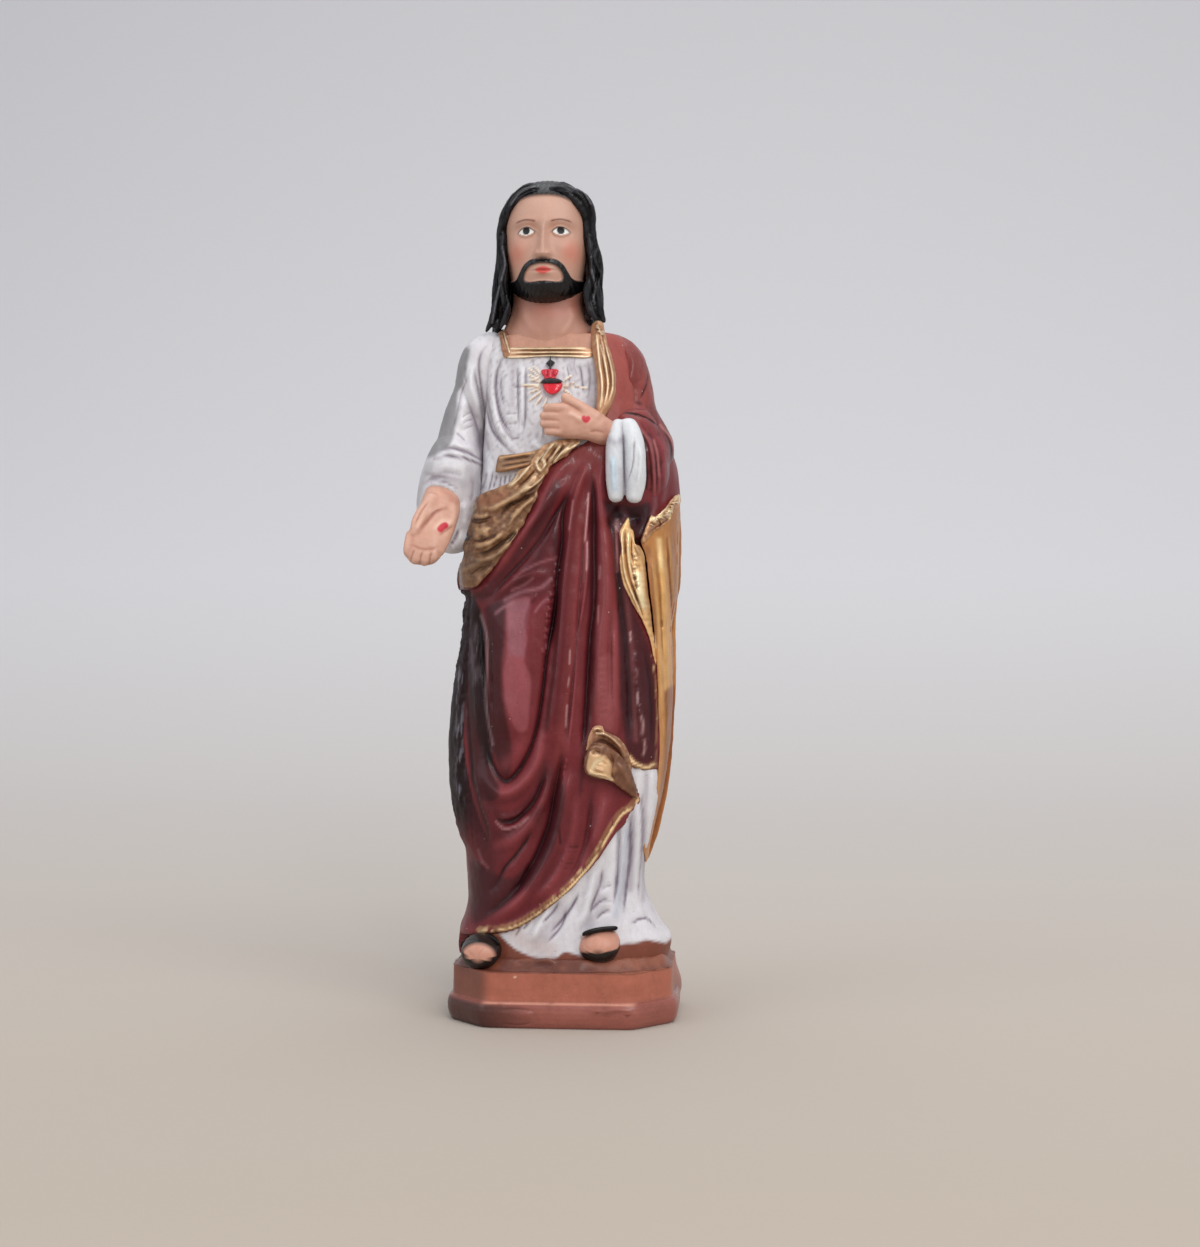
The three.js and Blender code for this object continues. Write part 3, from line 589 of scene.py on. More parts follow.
mantleFolds = [
    # the leg that is set forward, in its round groove
    ("fold", 1.6, 5.5, (513, 600), (513, 650), (513, 700), (511, 745)),
    ("crease", 1.7, 0.8, (557, 585), (553, 621), (547, 655), (543, 690), (538, 722), (532, 745),
     (524, 762), (514, 776), (505, 781), (497, 773), (490, 757), (485, 735)),
    ("crease", 2.0, 0.9, (479, 600), (482, 655), (486, 691), (491, 740), (497, 765)),
    ("fold", 0.8, 0.5, (483.6, 618), (488.5, 679), (493, 740)),
    ("crease", 0.9, 0.6, (487, 618), (491, 679), (493, 727)),
    # the pull towards the hip
    ("fold", 1.0, 1.4, (575, 470), (540, 512), (505, 555), (487, 585)),
    ("crease", 1.2, 0.7, (572, 486), (540, 540), (505, 580), (484, 604)),
    ("fold", 0.7, 1.0, (552, 572), (515, 580), (490, 600)),
    ("fold", 0.5, 0.4, (543, 570), (529, 574), (515, 580)),
    ("fold", 0.5, 0.4, (537, 594), (533, 598), (530, 601)),
    # the long pleats below the hand
    ("fold", 1.2, 1.6, (578, 455), (557, 473), (540, 505), (520, 545)),
    ("crease", 2.0, 1.0, (572, 486), (563, 513), (562, 543), (557, 578), (555, 612), (547, 655)),
    ("fold", 1.2, 1.0, (589, 457), (578, 489), (572, 515), (569, 543), (565, 572), (561, 620), (558, 665),
     (552, 710), (546, 745)),
    ("crease", 1.0, 0.5, (582.5, 520), (582, 560), (579, 600), (577, 640), (571, 700), (564, 750)),
    ("fold", 0.5, 0.3, (589, 495), (588, 509), (586.5, 540)),
    ("fold", 0.6, 0.35, (588, 560), (584, 600), (578, 636), (574.5, 685), (570, 733), (566, 760)),
    ("crease", 1.9, 1.0, (592, 469), (594, 509), (594, 543), (594, 600), (590, 636), (587, 685),
     (585, 721), (582, 757)),
    ("fold", 1.4, 1.5, (601, 455), (599, 497), (604, 526), (606.6, 555), (607, 600), (602, 648),
     (601, 697), (602, 727)),
    ("crease", 1.0, 0.6, (612, 600), (610, 640), (610, 675), (610, 712)),
    ("fold", 0.8, 0.9, (614.5, 620), (614.5, 685), (618, 735)),
    ("crease", 1.5, 1.4, (606, 500), (612, 540), (618, 590), (625, 640), (629, 690), (630, 745)),
    ("fold", 0.7, 0.6, (634, 652), (637.5, 684), (641, 721), (645, 755)),
    ("crease", 0.9, 0.7, (642, 640), (649, 680), (651, 720), (650, 752)),
    # the swags
    ("fold", 1.2, 1.4, (480, 770), (490, 786), (503, 794), (520, 786), (536, 765), (545, 730)),
    ("crease", 1.6, 0.8, (492, 808), (500, 820), (512, 821), (527, 810), (536, 798), (541, 786),
     (548, 765)),
    ("fold", 0.7, 0.35, (495, 818), (504, 817), (515, 815), (526, 807)),
    ("fold", 0.7, 0.35, (500, 829), (503, 829), (515, 826), (528, 814)),
    ("fold", 1.2, 1.3, (495, 845), (510, 842), (528, 826), (545, 795), (554, 760)),
    ("crease", 2.0, 1.0, (564, 740), (559, 770), (554, 797), (550, 820), (544.5, 837), (534, 861),
     (523, 879), (512, 895), (498, 907), (480, 919)),
    ("crease", 0.9, 0.5, (534, 825), (526, 841), (515, 856), (504, 869), (496, 885), (484, 895)),
    ("fold", 0.6, 0.4, (528, 865), (515, 891), (504, 903), (492, 908)),
    ("crease", 0.9, 0.5, (532, 862), (520, 884), (508, 896)),
    ("fold", 1.5, 1.7, (569, 763), (561, 815), (555, 840), (542, 868), (526, 892), (504, 911), (484, 921)),
    ("crease", 0.6, 0.4, (559, 826), (560, 838), (561, 848)),
    ("crease", 1.2, 0.8, (592, 784), (590, 816), (584, 848), (572, 874), (556, 893)),
    ("fold", 0.9, 1.2, (577, 790), (574, 830), (565, 862), (548, 888), (525, 905)),
    ("fold", 0.9, 1.0, (606, 796), (600, 822), (590, 852)),
    # the back of the mantle that shows beyond the front one
    ("lap", 1.4, 1.2, (491, 850), (489, 828), (481, 804), (475, 777), (472, 745)),
    ("fold", 0.9, 0.6, (474, 625), (475, 665), (476, 697), (479, 740)),
    ("fold", 1.0, 0.7, (463, 640), (460, 690), (459, 727), (456, 780), (460, 815)),
    ("crease", 1.1, 0.7, (468, 640), (467, 690), (469, 727), (471.5, 760), (474, 800)),
    ("fold", 0.7, 0.6, (469, 853), (478, 862), (484, 870)),
    # the dark pocket below the cuff
    ("crease", 2.6, 2.6, (612, 505), (628, 516), (646, 520)),
]


def beads(line, count, tall, wide, seed):
    random = np.random.default_rng(seed)
    path = curveThrough(line, 20)
    made = []
    for share in (np.arange(count) + random.uniform(0.2, 0.8, count)) / count:
        x, y = path[int(share * (len(path) - 1))] + random.normal(0, 0.7, 2)
        long = random.uniform(0.8, 2.4)
        made.append(("fold", tall * random.uniform(0.5, 1.2), wide, (x, y - long), (x + 0.4, y),
            (x, y + long)))
    return made


mantleFolds += beads([(556, 576), (552, 610), (547, 640), (543, 670)], 16, 0.45, 0.3, 3)
mantleFolds += beads([(634, 652), (636, 674), (639, 700), (641, 721), (644, 745)], 13, 0.7, 0.38, 4)
mantleFolds += beads([(567, 757), (563, 779), (558, 793)], 7, 0.4, 0.28, 5)
mantleFolds += beads([(566, 850), (556, 872), (546, 890)], 7, 0.4, 0.28, 6)
for ripple in range(9):
    height = 656 + 7 * ripple
    mantleFolds.append(("crease", 0.35, 0.3, (599, height), (604, height + 1), (608, height)))
for ripple in range(5):
    height = 846 + 5.5 * ripple
    mantleFolds.append(("crease", 0.35, 0.3, (566 - ripple, height), (574 - ripple, height + 1),
        (581 - 2 * ripple, height)))
mantleBackFolds = [
    ("fold", 1.7, 3.0, (13, 156), (7, 130), (-5, 100), (-19, 74)),
    ("crease", 1.5, 1.3, (17, 148), (13, 120), (3, 88), (-11, 60)),
    ("fold", 1.8, 3.0, (19, 140), (17, 108), (10, 74), (-1, 44)),
    ("crease", 1.5, 1.3, (21, 122), (20, 92), (14, 58), (7, 38)),
    ("fold", 1.5, 2.8, (-17, 58), (-9, 40), (1, 28)),
    ("crease", 1.2, 1.2, (-21, 90), (-17, 60), (-8, 34), (3, 26)),
    ("crease", 1.0, 1.0, (2, 140), (-6, 118), (-18, 98)),
    ("fold", 1.4, 1.6, (4, 158), (-6, 136), (-18, 114), (-24, 106))]
robeEdge = [(505, 300), (503, 335), (507, 350), (512, 352.5), (550, 352), (592, 352), (597, 340),
    (597, 300)]


def robeOffset(points, turn, height):
    opening = np.where(np.sin(turn) < 0.1, depthIn(robeEdge, seen(points)), -5)
    sleeveSide = 0.8 * bell((turn / degrees + 168) / 34) * bell((height - 137) / 11)
    leftSide = 3.2 * bell((turn / degrees + 14) / 22) * bell((height - 56) / 16)
    leftSide += 1.9 * bell((turn / degrees + 8) / 30) * bell((height - 20) / 7)
    covered = 3.0 * ease(0.6, 2.5, mantleDepth(points, turn))
    return -0.9 - 0.5 * ease(-0.1, 0.4, opening) - covered + sleeveSide + leftSide * ease(2.5, 0.6, covered)


robeFolds = [
    # breast
    ("crease", 0.8, 0.45, (518, 359), (518, 386), (518.6, 410), (519, 434)),
    ("crease", 0.8, 0.45, (526, 359), (525.5, 386), (525, 420), (521.5, 440)),
    ("fold", 0.5, 0.7, (522, 362), (522, 400), (522, 430)),
    ("crease", 0.7, 0.5, (579, 361), (582, 378), (583.5, 396)),
    ("fold", 0.5, 1.2, (508, 362), (506, 390), (510, 420), (516, 434)),
    ("crease", 0.9, 0.32, (499, 360), (496.3, 388), (498, 405), (503.6, 422), (515, 438)),
    ("fold", 1.1, 0.9, (493, 350), (490.5, 375), (492, 403), (499, 428), (510, 443), (520, 447)),
    ("crease", 1.0, 0.36, (487, 350), (484.5, 375), (485, 397), (491, 426), (503, 444), (518, 454)),
    ("fold", 0.8, 0.7, (481.5, 352), (480, 380), (481, 405), (486, 430), (496, 448)),
    ("crease", 0.9, 0.4, (477, 352), (475.5, 375), (477, 400), (480, 425), (484, 446)),
    ("crease", 0.5, 0.3, (502, 372), (501, 390), (505, 410)),
    ("crease", 0.4, 0.3, (566, 362), (569, 378), (570, 392)),
    ("crease", 0.4, 0.3, (588, 362), (590, 380), (588, 398)),
    ("crease", 0.4, 0.3, (510, 385), (518, 387), (527, 386)),
    ("crease", 0.4, 0.3, (565, 386), (575, 387), (586, 386)),
    ("crease", 0.3, 0.25, (506, 413), (512, 414), (518, 413)),
    ("crease", 0.3, 0.25, (507, 423), (513, 424), (518, 423)),
    ("fold", 0.6, 0.8, (531, 440), (538, 446), (546, 450)),
    ("fold", 0.4, 0.4, (540, 420), (542, 430), (541, 440)),
    # below the belt
    ("crease", 0.7, 0.25, (493, 472), (491, 482), (488, 492)),
    ("crease", 0.7, 0.25, (497, 473), (495, 482), (492, 491)),
    ("fold", 0.6, 0.3, (489, 468), (487, 478), (483, 489)),
    ("crease", 0.6, 0.3, (501, 475), (500, 482), (499, 490)),
    ("crease", 0.6, 0.3, (506, 474), (505, 480), (504, 486)),
    ("crease", 0.6, 0.3, (511, 473), (510, 479), (509, 484)),
    ("crease", 0.6, 0.3, (516, 473), (515, 478), (514, 482)),
    ("crease", 0.9, 0.6, (486, 470), (485, 482), (480, 492)),
    # skirt
    ("crease", 1.2, 0.6, (618, 815), (618, 848), (617, 879), (613, 910)),
    ("crease", 1.2, 0.6, (630, 810), (630, 855), (627, 879), (623, 920)),
    ("crease", 0.9, 0.5, (641, 780), (642, 840), (639, 879), (638, 906)),
    ("fold", 0.9, 0.9, (636.5, 790), (636, 855), (632, 898)),
    ("fold", 0.9, 0.9, (624, 820), (623, 860), (619, 905)),
    ("fold", 0.8, 0.8, (650, 790), (648, 840), (647, 880), (655, 915)),
    ("crease", 0.8, 0.5, (647, 850), (646, 880), (652, 905), (662, 925)),
    ("fold", 0.8, 1.0, (596, 865), (592, 887), (585, 915), (575, 930)),
    ("crease", 0.7, 0.5, (603, 865), (600, 885), (592, 905), (590, 918)),
    ("crease", 0.6, 0.35, (589, 913), (601, 901), (613, 901)),
    ("crease", 0.6, 0.35, (595, 920), (604, 912), (613, 911)),
    ("crease", 0.6, 0.35, (600, 892), (607, 886), (614, 888)),
    ("crease", 0.9, 0.5, (580, 890), (573, 905), (562, 920), (548, 935)),
    ("crease", 0.7, 0.5, (560, 900), (553, 912), (540, 925)),
    ("crease", 0.7, 0.5, (566, 905), (562, 925), (545, 945)),
    ("fold", 0.9, 1.0, (552, 908), (540, 925), (530, 945)),
    ("crease", 0.5, 0.35, (530, 915), (527, 925), (521, 930)),
    ("crease", 0.5, 0.35, (520, 922), (519, 930), (514, 938)),
    ("crease", 0.6, 0.4, (628, 925), (645, 918), (658, 930)),
]


def fuse(name, pieces, cell, rounds):
    deselect()
    for piece in pieces:
        piece.select_set(True)
    bpy.context.view_layer.objects.active = pieces[0]
    bpy.ops.object.join()
    whole = bpy.context.object
    whole.name = name
    whole.data.name = name
    melt = whole.modifiers.new("melt", "REMESH")
    melt.mode = "VOXEL"
    melt.voxel_size = cell * mm
    bpy.ops.object.modifier_apply(modifier="melt")
    if rounds:
        setPoints(whole, neighbourMean(whole, pointsOf(whole), rounds))
    bpy.ops.object.shade_smooth()
    return whole


def limbPiece(name, stops, sides=40, rows=40, **settings):
    return rolledPiece(name, sides, rows, limbPlace(stops, **settings))


# A strip of cloth or paint that lies on the body between two lines of the photograph
def stripPiece(name, left, right, thick, sides=80, rows=120, standOff=0.0, sink=1.5, cloak=0, flat=0.35):
    leftLine, rightLine = curveThrough(left, 10), curveThrough(right, 10)

    def place(upward, turn):
        read = lambda line: np.stack([np.interp(upward * (len(line) - 1), np.arange(len(line)), column)
            for column in line.T], 1)
        first, second = read(leftLine), read(rightLine)
        closing = (1 - np.abs(2 * upward - 1) ** 14) ** 0.5
        across = np.cos(turn)
        at = (first + second) / 2 + (second - first) / 2 * (across * closing)[:, None]
        rise = -np.sin(turn)
        out = np.sign(rise) * np.abs(rise) ** flat * closing
        base = onto(at, standOff, cloak)
        return base + towardsEye(base) * np.where(out > 0, out * thick, out * sink)[:, None]
    return rolledPiece(name, sides, rows, place)


# Paint. The Lit colours are painted highlight; the wash, Dark and Deep colours are a dark paint wash
# together with painted shade, for hollows and creases.
white, whiteWashAndShade = colour(206, 202, 206), colour(112, 98, 114)
maroon, maroonLit, maroonDark = colour(104, 34, 39), colour(142, 66, 71), colour(32, 9, 14)
gold, goldLit, goldDark = colour(192, 144, 106), colour(242, 216, 178), colour(102, 64, 44)
bronze, bronzeDark = colour(140, 106, 78), colour(64, 40, 28)
fleshTone, fleshDeep = colour(196, 148, 128), colour(150, 94, 78)
blackPaint = colour(20, 19, 21)


def hollow(piece, rounds):
    bend = hollows(piece, rounds)
    return np.clip(bend / np.percentile(np.abs(bend), 92), -1.5, 1.5)


def lineMask(at, points, width, soft=0.5):
    away = nearestOn(curveThrough(points, 8), at)[0] / pixelsPerMm
    return ease(width * (1 + soft), width * (1 - soft), away)


# Painted highlight on ridges and rises, and a dark paint wash together with painted shade in creases and
# hollows
def washedAndShaded(piece, carved, base, lit, washAndShade, fine=3, broad=14, washAndShadeShare=0.8, litShare=0.5):
    dark, light = carved
    small, large = hollow(piece, fine), hollow(piece, broad)
    shade = np.tile(base, (len(dark), 1))
    shade = mix(shade, lit, np.clip(litShare * (0.6 * light + 0.5 * np.clip(-large, 0, 1)), 0, 0.8))
    deep = 0.9 * dark + 0.5 * np.clip(large, 0, 1) + 0.35 * np.clip(small, 0, 1.3)
    return mix(shade, washAndShade, np.clip(washAndShadeShare * deep, 0, 0.95))


# A point of the photograph at a given depth, in the figure's own place
def spot(x, y, depth):
    ray = (viewForward + (x - photo["width"] / 2) / focalPixels * viewRight
        + np.array([0, 0, (photo["height"] / 2 - y) / focalPixels]))
    return tuple(eye + ray * (depth - eye[1]) / ray[1] - shift)


def stops(*rows):
    return [(*spot(x, y, depth), wide, deep) for x, y, depth, wide, deep in rows]


# Broad soft painted strokes laid over a piece: (colour, strength, width in mm, points...), seen from the
# front. They carry painted shade and painted highlight, and a few marks of the thing's own colour.
def toned(piece, shade, tones):
    points = pointsOf(piece)
    at = seen(points)
    front = ease(0.35, -0.1, normalsOf(piece)[:, 1])
    for tint, strength, wide, *line in tones:
        path = curveThrough(line, 6)
        reach = 2.6 * wide * pixelsPerMm
        near = np.flatnonzero(((at > path.min(0) - reach) & (at < path.max(0) + reach)).all(1)
            & (front > 0))
        away = nearestOn(path, at[near])[0] / pixelsPerMm
        shade[near] = mix(shade[near], tint, strength * bell(away / wide) * front[near])
    return shade


# Flat painted shade and painted highlight with a definite edge: (colour, strength, softness in mm,
# outline...), seen from the front
def patched(piece, shade, patches):
    points = pointsOf(piece)
    at = seen(points)
    front = ease(0.35, -0.1, normalsOf(piece)[:, 1])
    for tint, strength, soft, *outline in patches:
        shade = mix(shade, tint, strength * ease(-soft, soft, depthIn(outline, at)) * front)
    return shade


# Painted shade for the white cloth's folds and creases, and painted highlight for its ridges
shadeLilac, highlightWhite, creaseShadeLilac = colour(138, 126, 138), colour(226, 225, 229), colour(112, 98, 106)
robeHem = [(440, 700), (700, 700), (700, 925), (672, 938), (665, 943), (649, 940), (635, 943), (622, 944),
    (610, 950), (596, 954), (578, 955), (566, 952), (557, 957), (545, 958), (534, 957), (515, 949),
    (499, 934), (480, 915), (440, 905)]
# Painted shade in the robe's folds and creases, and painted highlight on its ridges
robeTones = [
    (shadeLilac, 0.55, 0.35, (502, 359), (495, 380), (497, 403), (502, 424), (511, 437), (518, 438)),
    (shadeLilac, 0.5, 0.35, (488, 349), (485, 373), (488, 400), (494.5, 427), (506, 447), (516, 455)),
    (shadeLilac, 0.5, 0.4, (482, 352), (480, 373), (481, 410), (486, 440), (492, 458)),
    (shadeLilac, 0.5, 0.4, (481, 430), (480.5, 445), (481, 459), (485, 461)),
    (shadeLilac, 0.35, 0.8, (513, 360), (512, 385), (512, 405)),
    (creaseShadeLilac, 0.6, 0.17, (502, 359), (495, 380), (497, 403), (502, 424), (511, 437), (518, 438)),
    (creaseShadeLilac, 0.55, 0.17, (488, 349), (485, 373), (488, 400), (494.5, 427), (506, 447), (516, 455)),
    (creaseShadeLilac, 0.5, 0.2, (533, 360), (533.5, 366), (533, 374)),
    (creaseShadeLilac, 0.5, 0.17, (525.4, 371), (524.5, 390), (526, 417)),
    (creaseShadeLilac, 0.45, 0.17, (575, 358), (574, 366), (577, 374)),
    (creaseShadeLilac, 0.45, 0.17, (588, 362), (590, 380), (588, 398)),
    (highlightWhite, 0.6, 0.6, (498, 350), (490, 375), (492, 403), (498, 428), (509, 445)),
    (highlightWhite, 0.5, 0.5, (507, 440), (514, 446), (522, 450)),
    (highlightWhite, 0.5, 0.8, (522, 365), (522, 400), (521, 430)),
    (colour(236, 238, 242), 0.7, 1.0, (489, 455), (490, 468), (484, 484)),
    (colour(120, 110, 122), 0.5, 0.25, (493, 472), (491, 482), (488, 492)),
    (colour(120, 110, 122), 0.5, 0.25, (487, 474), (485, 482), (482, 488)),
    (highlightWhite, 0.4, 1.4, (535, 410), (540, 430), (538, 445)),
    (shadeLilac, 0.4, 0.9, (588, 365), (591, 385), (589, 405)),
    (shadeLilac, 0.35, 1.2, (571, 362), (575, 375)),
    (shadeLilac, 0.5, 0.7, (634, 790), (634, 850), (630, 890)),
    (shadeLilac, 0.45, 0.6, (647, 775), (645, 830), (643, 900)),
    (colour(150, 158, 176), 0.45, 1.0, (626, 830), (622, 880), (616, 915)),
    (shadeLilac, 0.4, 1.6, (604, 880), (598, 905), (590, 925)),
    (shadeLilac, 0.35, 1.6, (560, 905), (552, 925), (545, 940)),
    (colour(170, 130, 104), 0.3, 2.2, (515, 935), (530, 945), (550, 950)),
    (highlightWhite, 0.5, 1.2, (617, 835), (612, 870), (604, 890)),
    (highlightWhite, 0.5, 0.8, (639, 775), (639, 830), (637, 880)),
    (highlightWhite, 0.5, 0.8, (652, 775), (650, 830), (650, 860))]
heartRays = [("fold", 0.4, 0.28, *ray) for ray in ([(529, 368.5), (534, 372), (539, 376.5)],
    [(528.5, 374.5), (534, 377), (539.5, 379)], [(529, 379), (534, 380), (540, 381.5)],
    [(522.5, 385.3), (532, 384.8), (540, 384)], [(528, 387.5), (534, 387), (540, 386)],
    [(529, 392.5), (534, 390.5), (540, 388)], [(528.7, 400.5), (534, 396.5), (540.5, 391.5)],
    [(536, 404), (539, 400), (542.7, 395)], [(543, 406), (545.5, 402), (547, 397)],
    [(533, 366), (537, 369.5), (541, 374)], [(564, 383.6), (569, 383.2), (574, 383)],
    [(564, 386), (569, 386.5), (574, 386.8)], [(564, 380.5), (568, 377.5), (572, 375)],
    [(563, 389), (567, 391.5), (571, 394)], [(577, 386), (582, 387), (587, 387.5)])]
# Levels are (share of the rows, height in mm). Few rows are spent where the mantle covers the robe.
robeSizes = {"sides": 236, "rows": 240, "levels": [(0, 10.6), (0.42, 62), (0.48, 114), (1, 163.2)],
    "unevenness": 0.05, "rough": 0.42}
robePaint = {"lit": colour(222, 220, 224), "washAndShadeShare": 0.7, "mottle": colour(150, 140, 146),
    "rayShadow": colour(176, 128, 88), "ray": colour(246, 232, 206), "opening": colour(184, 136, 116),
    "hem": colour(122, 66, 50), "hemGold": colour(170, 116, 76)}


def makeRobe():
    paints = robePaint
    robe = bodyPiece("robe", robeSizes["sides"], robeSizes["rows"], robeSizes["levels"], robeOffset,
        cloak=0)
    carved = carve(robe, robeFolds + heartRays, [], robeSizes["unevenness"], 11)
    shade = washedAndShaded(robe, carved, white, paints["lit"], whiteWashAndShade, washAndShadeShare=paints["washAndShadeShare"])
    shade = toned(robe, shade, robeTones)
    points = pointsOf(robe)
    at = seen(points)
    front = points[:, 1] < 0
    breast = front * ease(128, 136, points[:, 2])
    shade = mix(shade, paints["mottle"], 0.5 * breast * ease(0.0, 1.2, wobble(points, 2.0, 14)))
    for ray in heartRays:
        line = ray[3:]
        shadow = lineMask(at, [(x + 0.4, y + 1.2) for x, y in line], 0.12)
        shade = mix(shade, paints["rayShadow"], 0.75 * shadow * front)
        shade = mix(shade, paints["ray"], 0.85 * lineMask(at, line, 0.16) * front)
    shade = mix(shade, paints["opening"], ease(-0.1, 0.1, depthIn(robeEdge, at)) * front)
    hem = depthIn(robeHem, at) + 0.1 * wobble(points, 3.0, 12)
    shade = mix(shade, paints["hem"], ease(0.35, -0.35, hem) * (points[:, 2] < 24))
    shade = mix(shade, paints["hemGold"], 0.6 * lineMask(at, [(467, 934), (480, 931), (499, 930)], 1.2))
    paint(robe, shade, rough=robeSizes["rough"])
    finishPiece(robe, finishes["robe"])


makeRobe()
print("robe ready")


hemLine = [(637, 799), (630, 807), (621, 813), (613, 824), (606, 836), (599.5, 848), (591, 861),
    (581, 873), (567, 888), (551, 901.5), (534, 914), (517, 924), (501, 928.5), (480, 930)]
lobeLine = [(629, 758), (633, 763), (640, 767), (647, 768.5), (654, 765)]
lobeEdge = [(655.5, 763), (656.5, 738), (657, 712), (655.5, 685), (652, 655)]
# Maroons for painted light: the black and deep ones are painted shade, the thigh one a painted sheen and
# the bright one painted highlight. The dull one is painted shade on the mantle and colours the wrap's lower
# rim.
deepShadeMaroon, shadeMaroon, dullMaroon = colour(40, 15, 22), colour(60, 20, 26), colour(88, 30, 36)
thighSheenMaroon, highlightMaroon = colour(156, 84, 90), colour(140, 64, 68)
# Painted shade in the mantle's hollows, and painted sheen and highlight streaks on its ridges
mantleTones = [
    (shadeMaroon, 0.45, 1.3, (496, 606), (520, 582), (540, 556), (550, 520)),
    (colour(156, 104, 112), 0.5, 0.5, (505, 600), (522, 592), (540, 588), (550, 580)),
    (colour(156, 104, 112), 0.5, 0.4, (496, 613), (504, 607), (513, 603)),
    (colour(156, 104, 112), 0.45, 0.35, (535, 612), (541, 604), (548, 598)),
    (dullMaroon, 0.5, 1.6, (573, 500), (569, 560), (562, 640), (556, 720)),
    (shadeMaroon, 0.6, 2.6, (550, 775), (556, 805), (548, 845), (530, 880)),
    (shadeMaroon, 0.6, 3.0, (482, 800), (490, 850), (484, 900)),
    (dullMaroon, 0.5, 1.6, (592, 790), (588, 840), (570, 880)),
    (shadeMaroon, 0.5, 1.4, (500, 835), (520, 830), (540, 810)),
    (highlightMaroon, 0.35, 1.2, (583, 540), (578, 620), (572, 700), (566, 750)),
    (highlightMaroon, 0.4, 2.4, (603, 800), (598, 830), (580, 865), (552, 893)),
    (highlightMaroon, 0.45, 1.0, (500, 792), (518, 785), (534, 765), (542, 735)),
    (highlightMaroon, 0.4, 1.2, (498, 845), (512, 840), (530, 822)),
    (highlightMaroon, 0.35, 1.6, (505, 765), (515, 755), (522, 740)),
    (colour(206, 150, 150), 0.8, 0.22, (588.5, 493), (587, 515), (585, 540)),
    (colour(206, 150, 150), 0.75, 0.22, (587, 542), (587, 556), (586.5, 570)),
    (colour(176, 112, 114), 0.7, 0.22, (573, 500), (571, 515), (569, 530)),
    (colour(190, 130, 132), 0.8, 0.22, (617, 520), (616.8, 540), (617, 572)),
    (colour(168, 118, 120), 0.6, 0.25, (496, 822), (504.7, 828.7), (518, 826), (529, 817)),
    (colour(150, 92, 98), 0.5, 0.35, (514, 577.6), (525, 570), (539, 563), (556, 558)),
    (colour(150, 92, 98), 0.45, 0.35, (512, 590), (524, 585), (533, 578)),
    (colour(150, 120, 122), 0.6, 0.3, (481, 615), (486.8, 636), (487, 664), (486, 697), (488, 719),
     (493, 745)),
    (colour(96, 80, 86), 0.35, 0.6, (476, 625), (474, 640)),
    (colour(96, 80, 86), 0.35, 0.5, (477, 668), (474, 684)),
    (colour(96, 80, 88), 0.6, 0.3, (470, 640), (472, 652), (471, 662)),
    (colour(96, 80, 88), 0.6, 0.3, (474, 655), (473, 668), (476, 680)),
    (colour(150, 92, 96), 0.4, 0.3, (478, 850), (482, 860), (488, 868)),
    (colour(110, 78, 84), 0.6, 0.5, (668, 462), (668, 478), (664, 500)),
    (colour(128, 92, 98), 0.6, 0.4, (655, 497), (655, 507), (652, 516)),
    (colour(120, 74, 84), 0.5, 0.6, (622, 508), (626, 514), (624, 520)),
    (colour(150, 84, 86), 0.35, 0.6, (622, 560), (628, 610), (632, 660), (634, 700), (636, 740)),
    (colour(196, 160, 160), 0.8, 0.2, (630, 632), (631, 637), (630, 641)),
    (colour(196, 160, 160), 0.8, 0.2, (638, 692), (637, 699), (639, 706)),
    (colour(176, 136, 136), 0.7, 0.3, (641, 716), (643, 724), (642, 734)),
    (colour(176, 136, 136), 0.7, 0.25, (644, 740), (645, 748), (643, 755)),
    (colour(196, 150, 150), 0.7, 0.2, (570, 650), (569.7, 657), (569.5, 664)),
    (colour(196, 150, 150), 0.6, 0.2, (569, 678), (568.5, 682), (568, 686)),
    (colour(196, 150, 150), 0.6, 0.25, (567, 706), (566.5, 716), (566, 726)),
    (colour(176, 120, 122), 0.6, 0.25, (600, 566), (599.8, 572), (599.6, 578)),
    (colour(176, 120, 122), 0.6, 0.25, (598.6, 606), (598.3, 614), (598, 622)),
    (colour(126, 84, 88), 0.7, 0.3, (634, 652), (634, 656), (633, 659)),
    (colour(126, 84, 88), 0.7, 0.3, (636.5, 670), (637, 674), (636, 677))]
